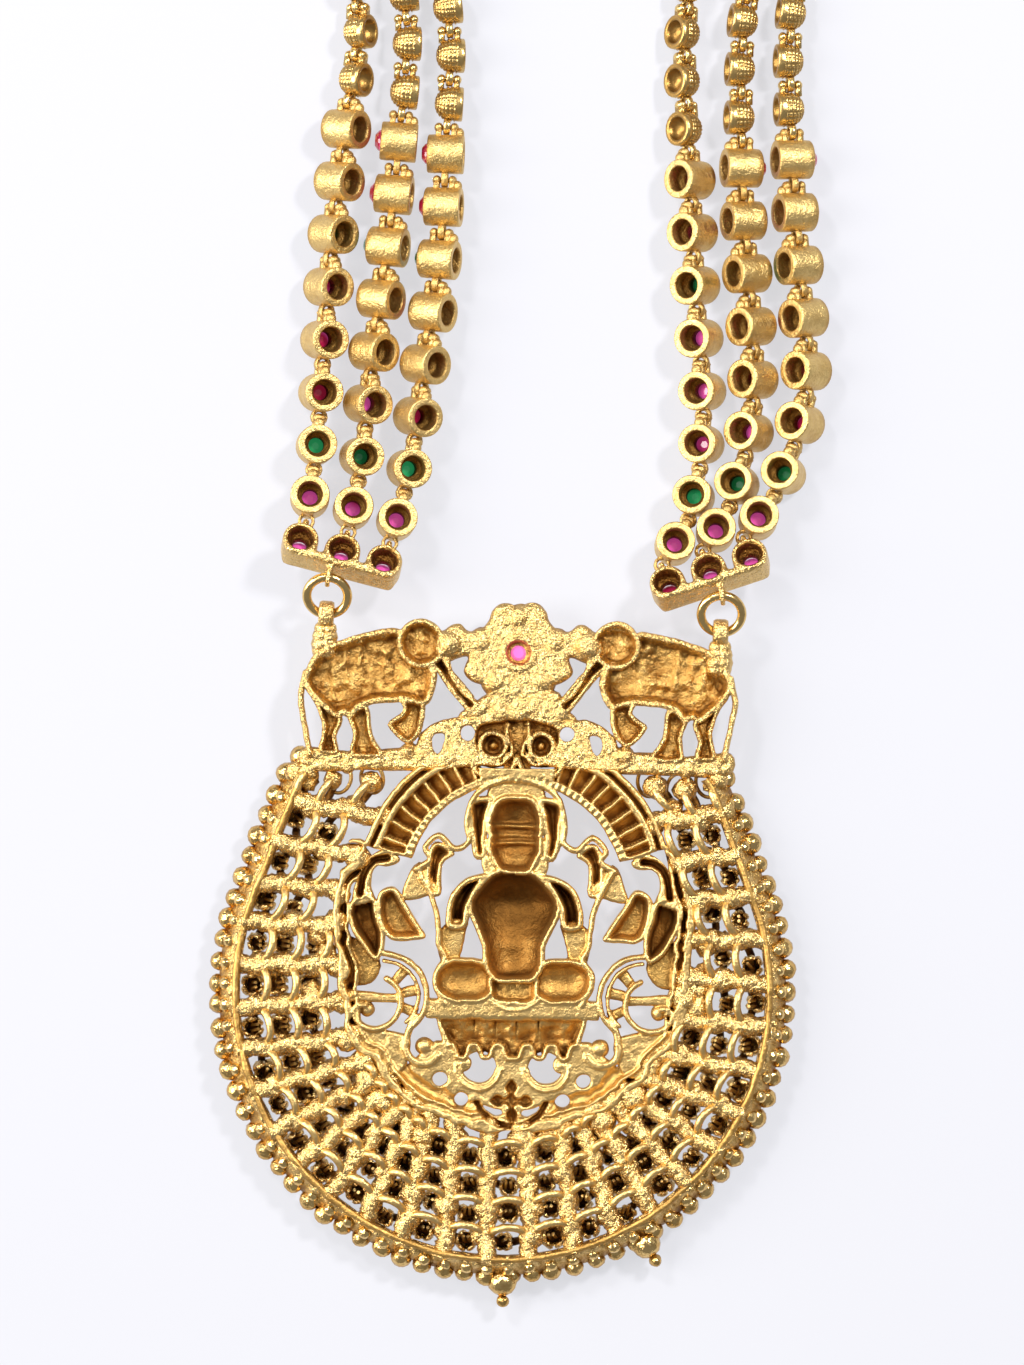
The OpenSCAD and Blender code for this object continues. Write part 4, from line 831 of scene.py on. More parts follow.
torso_line = [(1.9, 15.5), (3.7, 14.3), (5.3, 12.2), (5.4, 10.6), (4.5, 8.4), (3.6, 6.3), (3.5, 4.6),
              (3.2, 3.2), (2.6, 2.3), (1.6, 1.8)]
head_line = [(1.3, 25), (2.4, 24.2), (3.1, 22.5), (3.2, 21), (2.9, 20.4), (3.1, 19.8), (3, 18.4),
             (2.6, 17.5), (2.0, 16.4), (1.3, 15.9)]
knee_line = [(0.9, 3.4), (1.9, 2.7), (2.45, 1.5), (2.5, 0), (2.4, -1.6), (1.7, -3), (0.8, -3.6)]
for side in (1, -1):
    motif.shell(mirrored([(-3.5, 15.3), (-6.1, 14.9), (-7.8, 13.5), (-8.7, 11.5), (-8.9, 8.6), (-7, 8.1),
                          (-6, 9), (-5.6, 11.2), (-4.6, 13.3)], side), 2.2, 3.6, lumpy=0.1)
    motif.plate(mirrored([(-8.3, 9.3), (-9.9, 7.5), (-9.9, 5.7), (-9.2, 3.4), (-7.4, 3.4), (-6.3, 7.8),
                          (-6.1, 9)], side), 5.7, 2.6)
    motif.shell(mirrored([(-6.3, 23.9), (-5.2, 25.2), (-2.8, 25.2), (-3.3, 23), (-3.8, 20), (-3.6, 17.8),
                          (-5.4, 17.6)], side), 2.8, 4.3, 6.4)
    motif.shell(mirrored([(-11.3, 18.2), (-10, 19.4), (-7.9, 17.9), (-9.4, 16.6), (-9.6, 12.6),
                          (-11.2, 12.8), (-11.6, 15.6)], side), 3.2, 4.7, 6.5, wall=0.5, lumpy=0.15)
    motif.plate(mirrored([(-3.4, 14.4), (-2.4, 15.4), (-3.1, 17.4), (-3.9, 17.9), (-4.4, 16.8), (-4, 15.2)],
                         side), 6.4, 3)
    motif.rib(mirrored([(-12.6, 15.8), (-11.3, 13.2), (-10.2, 10.2), (-9.8, 7.8), (-9.7, 6), (-8.9, 4.4),
                        (-10.1, 2.6), (-10.1, 0.6), (-9, -1.5)], side), 0.7, 6.7, 3.6)
    motif.rib(mirrored([(0, 28.2), (-3.4, 26.9), (-5.4, 25.4), (-6.1, 23.8), (-6.4, 21.6), (-6.1, 19.7),
                        (-7.1, 18.8), (-8.3, 18.7), (-10, 20.2), (-11.8, 18.6), (-11.1, 17.2),
                        (-12.9, 15.9)], side), 0.75, 6.7, 3.2)
    spun_bowl(motif, knee_line, (-6.3 * side, 1.5), "x", 6.4, 0.85, 0.5)
motif.plate([(-3.4, 26.6), (0, 28.1), (3.4, 26.6), (3, 24.2), (-3, 24.2)], 6.1, 2.6)
motif.shell([(-3.1, 2.7), (-1.5, 3.4), (1.5, 3.4), (3.1, 2.7), (3.3, 0.2), (2.8, -1.2), (0, -1.9),
             (-2.8, -1.2), (-3.3, 0.2)], 2.4, 5.0, 6.5, wall=0.45, lumpy=0.25)
spun_bowl(motif, torso_line, (0, 0), "y", 6.3, 0.92, 0.6, 0.6)
head = spun_bowl(motif, head_line, (0, 0), "y", 6.3, 1.0, 0.55, 1.6)
bands = 0.75 * np.exp(-((motif.v - 21.6) / 0.3) ** 2) + 0.6 * np.exp(-((motif.v - 19.4) / 0.28) ** 2)
motif.back = np.where(head < -0.1, motif.back + bands, motif.back)
motif.rib([(-3.3, -0.9), (-1.9, -1.9), (0, -2.3), (1.9, -1.9), (3.3, -0.9)], 0.6, 6.6, 3.2)
print("deepest bowl, mm from the back:", round(back_z - motif.back[motif.edge < 0].min(), 2))

# %% [markdown]
# ## Seat and plate
# Below the figure come a seat bar, a hollow lotus with scalloped petals and a pierced plate with
# crescents and a cross of buds. The petals are a slope under a wavy edge, and the crescents are
# round holes with two thin ribs across each.

# %% Seat and plate
motif.plate([(-11.4, -1), (11.2, -1), (11.2, -3.4), (-11.4, -3.4)], 6.45, 2.2, smooth=False)
lotus = [(-10.2, -3), (9.8, -3), (8.6, -7.4), (-8.8, -7.4)]
motif.plate(lotus, 6.3, 2.6, smooth=False)
scallop = [(-x, -7.6 + 0.95 * math.tanh(1.9 * math.cos((x - 1.9) * 2 * math.pi / 3.15)))
           for x in np.linspace(8.1, 0, 27)]
plate_half = [(-8.4, -6.3), (-10.3, -6.9), (-12.3, -8.4), (-14.6, -10.6), (-14, -12.5), (-10.6, -15.2),
              (-5, -17.2)]
plate_line = plate_half + mirrored(plate_half[::-1], -1)
w = motif.near(np.array(plate_line))
d_plate = outline_distance(motif.u[w], motif.v[w], curved(plate_line))
motif.lay(w, d_plate, 6.2, 3.8, 0.5)
below_seat = np.maximum((motif.v + 8.5) * 0.5, (4.5 - np.abs(motif.u)) * 0.5)
valley = np.maximum(np.abs(d_frame + 2.8) - 0.9, below_seat)
motif.sink(everywhere, valley, 5.55, 0.9)
lotus_edge = curved(mirrored(scallop, -1) + scallop[-2::-1], False)
d_lotus = outline_distance(motif.u, motif.v, np.concatenate([[(-9.6, -3.5), (9.2, -3.5)], lotus_edge]))
petal_place = motif.u / 3.35 - np.round(motif.u / 3.35)
lotus_slope = 1.9 * np.clip((-2.7 - motif.v) / 3.2, 0, 1) ** 0.8
lotus_floor = 6.35 - lotus_slope + 0.2 * np.cos(petal_place * 2 * math.pi)
lotus_skin = 0.35 * patchy(motif.x, motif.y, 0.7, 23) * (motif.v < -3.8)
motif.sink(everywhere, d_lotus, lotus_floor + lotus_skin, 0.35)
petal_slot = np.minimum(np.abs(np.abs(motif.u + 0.9) - 4.1) - 0.12,
                        np.abs(np.abs(motif.u + 0.9) - 1.3) - 0.12)
motif.sink(everywhere, np.maximum(petal_slot, np.maximum(motif.v + 3.7, -6.6 - motif.v)), 4.3, 0.2)
motif.lumps = np.where((motif.v < -5) & (d_frame > -4.4), 0.1, motif.lumps)
for side in (1, -1):
    motif.pierce(-9.3 * side, -11.35, 0.95)
    motif.pierce(-6.6 * side, -13.95, 0.9)
    motif.pierce(-4.3 * side, -9.9, 2.2)
    motif.pierce_outline(mirrored([(-1.3, -15.9), (-2.2, -16.1), (-3.4, -15.3), (-3.6, -14.7),
                                   (-2.4, -15.1), (-1.4, -15.3)], side))
    w = motif.near(np.array([[-5.5 * side, -17.5], [0, -12]]), 1)
    rho = np.hypot(motif.u[w], motif.v[w] + 12.4)
    motif.sink(w, np.maximum(np.abs(rho - 4.9) - 0.4, motif.v[w] + 14), 4.9, 0.25)
    motif.rib(mirrored(arc(-4.4, -9.7, 2.95, 175, 355), side), 0.42, 6.6, 3.6)
    motif.rib(mirrored(arc(-4.4, -9.7, 2.35, 185, 350), side), 0.42, 6.4, 3.6)
    motif.knob(-6.4 * side, -9.3, 1.1, 5.3)
    motif.rib(mirrored(scallop, side), 0.62, 6.7, 3.4)
for x, y in [(0, -12.3), (-1.8, -14.1), (1.8, -14.1), (0, -15.9), (0, -14.1)]:
    motif.dish(x, y, 0.75, 4.8, 0.35)
for line in ([(0, -11.6), (0, -16.6)], [(-2.4, -14.1), (2.4, -14.1)]):
    w = motif.near(np.array(line), 1)
    motif.sink(w, outline_distance(motif.u[w], motif.v[w], np.array(line), False) - 0.34, 4.9, 0.25)
print("plate pierced")

# %% [markdown]
# A bird stands at each side of the figure, above a C-scroll with three rungs. Body and wing are
# hollow leaves, the neck is a plate with a groove, and the scrolls are ribs along arcs. With
# them the motif is complete, so it is cut from its grid and handed over.

# %% Birds and scrolls
bird_body = [(-21.6, 9.3), (-21.3, 11.4), (-19.9, 12.7), (-18.1, 12), (-17.5, 9.6), (-16.8, 7.6),
             (-17.0, 4.8), (-18.0, 3.9), (-20.1, 6.1)]
bird_wing = [(-17.9, 10.2), (-17.6, 12.7), (-15.6, 13.5), (-14, 11.2), (-12.4, 8.6), (-11.5, 7.0),
             (-13.5, 6.6), (-16.0, 6.7), (-17.2, 8.0)]
bird_head = [(-21, 11), (-20.8, 13.8), (-20, 15.9), (-18.8, 17.5), (-17, 18.3), (-15.1, 17.4),
             (-15.2, 16.6), (-16.4, 16.2), (-17.8, 16.2), (-18.6, 15.2), (-18.7, 13.6), (-18.3, 11.8)]
for side in (1, -1):
    motif.plate(mirrored([(-21.9, 7), (-21.6, 1.2), (-18.6, 0.9), (-17.3, 4)], side), 5.1, 3.4)
    motif.plate(mirrored([(-22, 0), (-14.8, -0.3), (-14.8, -1.5), (-22, -1.5)], side), 6.0, 4, smooth=False)
    motif.plate(mirrored([(-21.6, -4.6), (-18.5, -4.9), (-15.4, -5.2), (-13.2, -6.4), (-14.2, -10.2),
                          (-17, -10.6)], side), 6.1, 3.8)
    motif.plate(mirrored([(-12.6, 16.8), (-9.8, 13), (-11.2, 12.4), (-14, 11.8), (-14.6, 13)], side), 6.1,
                3.8)
    motif.shell(mirrored(bird_body, side), 2.2, 3.6, soft=0.8, wall=0.55, lumpy=0.12)
    motif.shell(mirrored(bird_wing, side), 2.4, 4.6, 6.6, soft=0.8, wall=0.55, lumpy=0.08)
    motif.plate(mirrored(bird_head, side), 6.5, 3)
    neck = curved(mirrored([(-20.1, 12.6), (-19.7, 15.2), (-18.4, 16.9), (-16.6, 17.3)], side), False)
    w = motif.near(neck)
    motif.sink(w, outline_distance(motif.u[w], motif.v[w], neck, False) - 0.5, 4.5, 0.35)
    motif.rib(mirrored(arc(-16.7, -0.6, 5.45, 92, -46), side), 0.75, 6.65, 3.8)
    motif.rib(mirrored(arc(-16.9, -0.7, 4.6, 88, -48), side), 0.5, 6.5, 3.8)
    motif.rib(mirrored(arc(-17.9, -1.5, 3.35, 66, -120) + [(-20.6, -3.3), (-20.3, -2), (-19.2, -1.9)],
                       side), 0.75, 6.6, 3.8)
    for a in (50, 12, -26):
        c, s = math.cos(math.radians(a)), math.sin(math.radians(a))
        rung = [(-17 + r * c - h * s, -0.8 + r * s + h * c)
                for r, h in ((2.6, -0.65), (5.0, -0.75), (5.0, 0.75), (2.6, 0.65))]
        motif.plate(mirrored(rung, side), 5.7, 4.2, smooth=False)
    motif.knob(-18.9 * side, -2.4, 1.0, 5.2)
    motif.rib(mirrored([(-12.6, -3.4), (-13.5, -5.4)] + arc(-11.6, -7.2, 2.2, 180, 330, 7), side), 0.95,
              6.55, 3.8)
    motif.knob(-11.4 * side, -7.1, 1.2, 5.4)
motif_mesh = casting_mesh("motif_casting", motif)
finish_piece("motif_casting", motif_mesh, ["pendant"], antique_gold)

# %% [markdown]
# ## The top casting: two elephants and a flower
# Two animals walk towards a flower, each a hollow leaf with a thin wall and a lumpy floor, as
# investment plaster leaves it. The flower and the ground under them are thick and rough. The
# same way of laying, sinking and piercing makes them, with more lumps.

# %% Elephants
top = Casting(-29.6, 29.6, 26.0, 51.6, 0.172)
back_line = [(-12.4, 44.6), (-15.4, 46.9), (-17.6, 46.9), (-19.8, 46.5), (-21.8, 45.9), (-24.5, 44.9),
             (-26.4, 43.6), (-27.4, 42.1), (-28, 40.2), (-27.2, 38.4), (-25.6, 36.8), (-23.7, 35.3),
             (-22.6, 35.7), (-21.5, 35.2), (-19.9, 36.9), (-15, 37.5), (-12.1, 37), (-10.9, 39),
             (-10.7, 41.5)]
for side in (1, -1):
    top.plate(mirrored([(-27.8, 31.4), (-22, 31.1), (-16, 31.5), (-10.6, 31.3), (-10.6, 28.9), (-20, 28.5),
                        (-27.4, 28.6)], side), 6.2, 3.4, soft=0.8)
    top.shell(mirrored([(-26.9, 38.4), (-26, 36.4), (-25.3, 34), (-25.7, 30.8), (-23.2, 30.8), (-23.5, 33),
                        (-22.9, 35.8)], side), 2.6, 5.1, 6.6, wall=0.45, soft=0.5, lumpy=0.08)
    top.shell(mirrored([(-22, 35.8), (-21.4, 33.4), (-21.4, 30.4), (-17.4, 30.6), (-18.8, 33.2),
                        (-19.5, 37)], side), 2.6, 5.1, 6.6, wall=0.45, soft=0.5, lumpy=0.08)
    top.shell(mirrored([(-15.2, 37.8), (-14.9, 36.4), (-16.9, 34.6), (-14.4, 32.1), (-12.5, 33.7),
                        (-12.2, 37.4)], side), 2.6, 5.0, 6.7, wall=0.5, soft=0.5, lumpy=0.1)
    top.shell(mirrored(back_line, side), 2.0, 4.5, 6.65, wall=0.7, soft=0.9, lumpy=0.13, hatch=0.12)
    folds = sum(0.45 * np.exp(-((top.u + side * (x + 0.12 * (top.v - 41))) / 0.42) ** 2)
                for x in (20.4, 22.3, 24.1))
    fold_zone = np.clip(1 - np.abs(top.v - 42.2) / 2.6, 0, 1) ** 0.5
    top.back = np.where(top.edge < -0.9, top.back + folds * fold_zone * (top.back < 6), top.back)
    top.rib(mirrored([(-27.7, 41.2), (-28.2, 38.3), (-27.9, 35.8), (-27.4, 33.2), (-26.9, 30.6)], side),
            0.75, 6.7, 3.4)
    top.shell(mirrored([(-9.5, 44.2), (-8.5, 41.6), (-6.9, 39.2), (-5, 37.6), (-6.2, 36.2), (-7.9, 38),
                        (-9.4, 39.8), (-10.8, 41.6), (-12, 43)], side), 2.6, 4.4, 6.5, wall=0.55)
    top.disc(-12.65 * side, 45.2, 3.2, 6.7, 2.8)
    top.dish(-12.65 * side, 45.2, 2.6, 4.5, 0.8)
    top.rib(mirrored([(-10.6, 44.6), (-9.4, 42.4), (-7.6, 40.4), (-5.9, 38.4)], side), 0.5, 6.6, 3.2)
hammered = 0.25 + 0.7 * patchy(top.x, top.y, 1.9, 31) + 0.7 * patchy(top.x, top.y, 1.0, 32)
top.back = np.where((top.edge < -0.9) & (top.back < 5.6) & (top.v > 37.5), top.back + hammered, top.back)
print("elephants laid")

# %% [markdown]
# The flower is a thick rough plate with five round petals and a seat for its stone. Below it lie
# two ringed bosses in a sunk brow, and pierced loops join the ground to the arch.

# %% Flower, bosses and the ground below
flower_y = 44.1
flower_half = [(-9.7, 46.6), (-8.8, 47.7), (-7.6, 47.9), (-6.6, 47), (-5.1, 47.1), (-3.9, 48.3),
               (-3.5, 49.6), (-2.3, 50.6), (-1, 50.6), (0, 50)]
flower_low = [(9.6, 43), (6.6, 43.6), (7.1, 41.7), (6.1, 40.5), (3.8, 39.5), (3.8, 38.2), (-3.8, 38.2),
              (-3.8, 39.5), (-6.1, 40.5), (-7.1, 41.7), (-6.6, 43.6), (-9.6, 43)]
loop_plate = [(-12.9, 29), (-12.9, 32.6), (-11.6, 34.4), (-9.6, 35.4), (-7.6, 35.6), (-2, 35.6),
              (-0.9, 33.4), (-1.1, 31), (-2.6, 29.9), (-5.6, 29.2)]
brow = [(0.3, 35.2), (-3.4, 35.1), (-5.2, 34.2), (-5.3, 32), (-4.2, 30.4), (-2.2, 30.2), (-1.2, 31.2),
        (0.3, 31.6)]
flower_line = flower_half + mirrored(flower_half[-2::-1], -1) + flower_low
top.plate([(-7.0, 35.4), (7.0, 35.4), (5.8, 37.4), (4.6, 39.4), (-2.8, 39.2), (-5.8, 37.4)], 6.4, 3.6,
          soft=0.9)
top.plate([(-7, 31), (7, 31), (6, 26.8), (-6, 26.8)], 5.0, 3.6, smooth=False)
top.plate([(-1.9, 35.6), (1.9, 35.6), (1.6, 30.8), (-1.6, 30.8)], 4.5, 3.4, smooth=False)
top.plate(flower_line, 6.4, 3.8, soft=0.9)
for side in (1, -1):
    top.plate(mirrored(loop_plate, side), 6.3, 3.6, soft=0.5)
    top.pierce(-6.4 * side, 33.6, 0.95)
    top.pierce_outline(mirrored([(-9.5, 33.4), (-10.9, 33.3), (-11.1, 31.9), (-10.5, 30.9), (-9.8, 31.7)],
                                side))
    top.sink(everywhere, outline_distance(top.u, top.v, curved(mirrored(brow, side))), 4.5, 0.4)
    top.pierce_outline(mirrored([(-4.9, 29.4), (-3.2, 29.2), (-1.7, 29.4), (-2.6, 28.7), (-3.9, 28.7)],
                                side))
    top.disc(-3.15 * side, 32.1, 1.95, 6.2)
    top.rib(mirrored([(-1.3, 34.9), (-1.4, 33.4), (-0.8, 32.0), (-0.7, 30.8)], side), 0.5, 6.0, 3.6)
    top.dish(-3.15 * side, 32.1, 1.4, 4.2, 0.4)
    top.knob(-3.15 * side, 32.1, 0.55, 4.5)
    top.rib(mirrored([(-6.3, 30.2), (-5.2, 28.5), (-2.7, 27.9), (-0.9, 28.8), (0, 30.6)], side), 0.7, 6.6,
            3.6)
    top.rib(mirrored([(-5.2, 30.9), (-4.0, 29.8), (-2.2, 29.7), (-1.1, 30.7)], side), 0.5, 6.2, 3.6)
    top.knob(-14 * side, 31, 1.3, 5.3)
    top.knob(-21.9 * side, 28.9, 0.9, 5.3)
for petal_turn in np.radians(range(0, 360, 72)):
    top.knob(5.1 * math.sin(petal_turn), flower_y + 4.6 * math.cos(petal_turn), 1.9, 4.9)
for side in (1, -1):
    top.knob(-9.0 * side, 45.2, 2.0, 5.3)
top.disc(0, flower_y, 2.5, 6.6, 3.2)
top.dish(0, flower_y, 1.6, 5.4, 0.3)
on_flower = outline_distance(top.u, top.v, curved(flower_line)) < 0
on_ground = (top.v < 31.6) & (np.abs(top.u) > 8)
on_bridge = (np.abs(top.u) < 8) & (top.v > 34.8) & (top.v < 39.5)
off_seat = np.hypot(top.u, top.v - flower_y) > 2.6
rough_zone = (on_flower | on_ground | on_bridge) & off_seat
top.lumps = np.where(rough_zone, np.where(top.v > 39, 0.07, 0.3), top.lumps)
top_mesh = casting_mesh("elephant_casting", top, grain=0.07, tone=0.05)
finish_piece("elephant_casting", top_mesh, ["pendant"], rough_gold)

# %% [markdown]
# ## The lattice
# Between the rim and the motif runs an open lattice: rough cast bars that follow the rim's
# radii, joined by rings, with small flowers at the front whose undersides show through.
# A bar's direction comes from a short table, so the bars lean as they do on the real piece.
# The rings are whole: the near half arches over the back, the far half hides in the shade.

# %% Lattice lines
bar_lean = np.array([(0, 0), (10, 3), (20, 10), (30, 24), (45, 44), (60, 66), (75, 82), (90, 87), (105, 92),
                     (120, 98), (140, 100)], float)
bar_long = np.array([(0, 19), (20, 19.5), (45, 18), (60, 16.5), (75, 15), (90, 14), (110, 13.5),
                     (118, 14.5), (128, 17), (140, 18)], float)
bar_count, bar_step, bar_height = 29, 9.55, 5.3
first_ring, ring_pitch = 2.9, 3.7


def bar_angle(i):
    """Where a bar starts on the rim, in degrees from the lowest point."""
    place = i - (bar_count - 1) / 2
    return -2.7 + place * (bar_step if place > 0 else bar_step - 0.3)


def straight_spot(radius, run):
    """A place on the rim's straight stretch, at a run above the round one."""
    t = math.radians(rim_turn)
    return np.array([-radius * math.cos(t) + run * math.sin(t), radius * math.sin(t) + run * math.cos(t)])


def bar_foot(a):
    """The place of a bar's foot on the ridge wire."""
    if abs(a) < 90 + rim_turn:
        return wire_radius * np.array([math.sin(math.radians(a)), -math.cos(math.radians(a))])
    q = straight_spot(wire_radius, math.radians(abs(a) - 90 - rim_turn) * wire_radius)
    return np.array([-math.copysign(1, a) * q[0], q[1]])


def bar_way(a):
    """The direction in which a bar leads inwards."""
    lean = math.radians(math.copysign(np.interp(abs(a), bar_lean[:, 0], bar_lean[:, 1]), a))
    return np.array([-math.sin(lean), math.cos(lean)])


def outside_motif(p):
    """How far points of the lattice are outside the motif's frame and arch, in mm."""
    x, y = (np.atleast_2d(p) - [motif_x, 0]).T
    return np.minimum(outline_distance(x, y, frame_line), np.hypot(x, y - arch_y) - 20.3)


rng = np.random.default_rng(5)
bar_paths, bar_girths, ring_paths, ring_girths = [], [], [], []
floret_spots, floret_ways, pin_paths, knots = [], [], [], []
for i in range(bar_count):
    a = bar_angle(i)
    reach = np.interp(abs(a), bar_long[:, 0], bar_long[:, 1])
    along = np.arange(-0.4, reach, 0.22)
    way, foot = bar_way(a), bar_foot(a)
    wobble = 0.22 * np.sin(along * 1.1 + i * 2.1)
    p = foot + along[:, None] * way + wobble[:, None] * np.array([-way[1], way[0]])
    kept = outside_motif(p) > -0.7
    p, along = p[kept], along[kept]
    if len(p) < 3:
        continue
    bar_paths.append(placed(np.column_stack([p, bar_height + 0.15 * np.sin(along * 0.9 + i)])))
    bar_girths.append(1 + 0.16 * np.sin(along * 1.7 + i) + 0.1 * np.sin(along * 3.9 + 2 * i))
    for d in np.append(np.arange(first_ring, along[-1], ring_pitch), along[-1] - 0.4):
        knots.append((*(foot + d * way + rng.normal(0, 0.25, 2)), bar_height, rng.uniform(1.15, 1.6)))
    if i + 1 == bar_count:
        continue
    b = bar_angle(i + 1)
    for j in range(5):
        d = first_ring + ring_pitch * j
        s, t = foot + d * way, bar_foot(b) + d * bar_way(b)
        too_near = min(outside_motif(s)[0], outside_motif(t)[0]) < 0.6 or np.linalg.norm(s - t) < 1.8
        if too_near or d > reach:
            continue
        mid, half = (s + t) / 2, (t - s) / 2
        inward = way + bar_way(b)
        inward = inward / np.linalg.norm(inward)
        turn = np.linspace(0, 2 * math.pi, 21)
        ring = mid + 0.8 * np.cos(turn)[:, None] * half + (1.15 * np.sin(turn) + 0.1)[:, None] * inward
        height = np.where(np.sin(turn) > 0, 5.2 + 1.6 * np.sin(turn), 5.2 + 2.4 * np.sin(turn))
        ring_paths.append(placed(np.column_stack([ring, height])))
        ring_girths.append(np.where(np.sin(turn) > -0.05, 1.8 + 0.15 * np.sin(turn), 0.62)[:-1])
        low = mid - 1.1 * inward + rng.normal(0, 0.25, 2)
        if outside_motif(low)[0] > 0.8:
            floret_spots.append((*low, 2.5))
            floret_ways.append(math.atan2(inward[1], inward[0]))
            for lean in (-0.5, 0.5):
                across = np.array([-inward[1], inward[0]]) * lean
                spots = [(low + across, 1.8), (low + across * 0.8, 3.6),
                         (mid - 0.4 * inward + across * 0.6, 4.9)]
                pin_paths.append(placed([(*spot, height) for spot, height in spots]))
shoulder_staples = [(-23.3, 25.6, 0.5), (-18.6, 25.4, 0.6), (-26.4, 26.6, 0.3),
                    (24.2, 25.0, -0.5), (27.6, 25.6, -0.4), (20.6, 25.6, -0.7)]
for x, y, lean in shoulder_staples:
    turn = np.linspace(0, 2 * math.pi, 21)
    long_way = np.array([math.sin(lean), math.cos(lean)])
    side_way = np.array([-long_way[1], long_way[0]])
    ring = (np.array([x, y]) + 1.9 * np.cos(turn)[:, None] * long_way
            + 0.5 * np.sin(turn)[:, None] * side_way)
    ring_paths.append(placed(np.column_stack([ring, 5.0 + 1.3 * np.sin(turn)])))
    ring_girths.append(np.where(np.sin(turn) > -0.05, 1.6, 0.62)[:-1])
    for end in (-1, 1):
        knots.append((x + end * 1.9 * long_way[0], y + end * 1.9 * long_way[1], 5.0, rng.uniform(1.1, 1.5)))
print(len(bar_paths), "bars,", len(ring_paths), "rings,", len(floret_spots), "florets")

# %% [markdown]
# The lines are swept by the cast wire tree. Bars get a thick section and deep grain, rings a
# thin one with little grain, as wire that is soldered on keeps its smooth skin.

# %% Lattice meshes
bar_mesh = grow(wire_tree, line_object("bar_lines", bar_paths, bar_girths),
                {"Thickness": 1.2 * MM, "Sides": 20, "Grain size": 0.55 * MM, "Grain depth": 1.0 * MM,
                 "Material": rough_gold})
# Painted shade on the bars, darker the lower they lie.
paint_shade_by_height(bar_mesh, 6.1, 3.2)
finish_piece("lattice_bars", bar_mesh, ["pendant"], rough_gold)
ring_mesh = grow(wire_tree, line_object("ring_lines", ring_paths, ring_girths),
                 {"Thickness": 0.52 * MM, "Sides": 10, "Grain size": 0.9 * MM, "Grain depth": 0.25 * MM,
                  "Material": antique_gold})
# Painted shade on the rings, darker the lower they lie.
paint_shade_by_height(ring_mesh, 6.0, 3.6)
finish_piece("lattice_rings", ring_mesh, ["pendant"], antique_gold)

# %% [markdown]
# Solder and flashing gathered in lumps where a ring meets a bar, and at a bar's loose end. Near
# the frame some bars end in a cluster of three balls. One tree sets a flattened ball on each
# place, with its own size, and the noise makes every lump different.

# %% Lumps and loose balls
lump_form = moved(ball(1.0, 12, 8), Matrix.Diagonal((1.1, 1.1, 0.85, 1)))
lump_shape = pattern_object("lump_pattern", gathered("lump_pattern", [lump_form]))
loose_balls = [(-24.0, 7.1, 4.9, 1.45), (-24.5, 2.7, 4.9, 1.3), (-24.7, -0.5, 4.9, 1.6),
               (-22.9, 4.9, 5.2, 1.2), (26.4, 6.4, 4.9, 1.4), (26.0, 3.0, 4.9, 1.2),
               (-27.2, 28.3, 5.0, 1.3), (-25.6, 26.9, 4.8, 1.1), (27.6, 28.2, 5.0, 1.3),
               (19.5, -9.3, 5.4, 1.5), (17.2, -13.3, 5.4, 1.8), (23.6, -0.4, 5.2, 2.0),
               (25.3, -1.4, 5.1, 1.7), (25.2, 0.8, 5.1, 1.6), (23.4, -2.9, 5.2, 1.5),
               (-17.4, -11.6, 5.2, 1.7), (-15.2, -14.4, 5.3, 1.6), (2.6, -19.4, 5.2, 1.7),
               (6.2, -18.9, 5.3, 1.5), (-5.6, -19.2, 5.2, 1.5), (13.2, -16.4, 5.3, 1.7)]
lumps = np.array(knots + loose_balls)
lump_mesh = grow(setting_tree, point_object("lump_points", placed(lumps[:, :3]), None, lumps[:, 3]),
                 {"Shape": lump_shape, "Grain size": 0.6 * MM, "Grain depth": 1.1 * MM,
                  "Material": rough_gold})
# Painted shade on the lumps, darker the lower they lie.
paint_shade_by_height(lump_mesh, 6.1, 3.2)
finish_piece("lattice_lumps", lump_mesh, ["pendant"], rough_gold)
loops = []
loop_places = [(-26.0, 28.0, 0.2), (-21.6, 27.4, -0.3), (-17.4, 27.5, 0.2),
               (26.2, 27.6, 0.3), (22.4, 26.9, -0.2), (18.6, 27.6, 0.1)]
for x, y, turn in loop_places:
    around = np.linspace(0, 2 * math.pi, 25)
    wide, tall = 1.45 * np.cos(around), 1.9 * np.sin(around)
    ring = [x + wide * math.cos(turn) - tall * math.sin(turn),
            y + wide * math.sin(turn) + tall * math.cos(turn), 4.6 + 0.9 * np.sin(around + 0.6)]
    loops.append(placed(np.stack(ring, 1)))
loop_mesh = grow(wire_tree, line_object("loop_lines", loops),
                 {"Thickness": 0.26 * MM, "Sides": 8, "Grain size": 0.9 * MM, "Grain depth": 0.05 * MM,
                  "Material": antique_gold})
# Painted shade on the loops, darker the lower they lie.
paint_shade_by_height(loop_mesh, 5.6, 2.0)
finish_piece("shoulder_loops", loop_mesh, ["pendant"], antique_gold)

# %% [markdown]
# The florets at the front are seen only through the gaps. Each is six petals round a cup, and
# two pins join it to its ring, so that nothing hangs in the air.

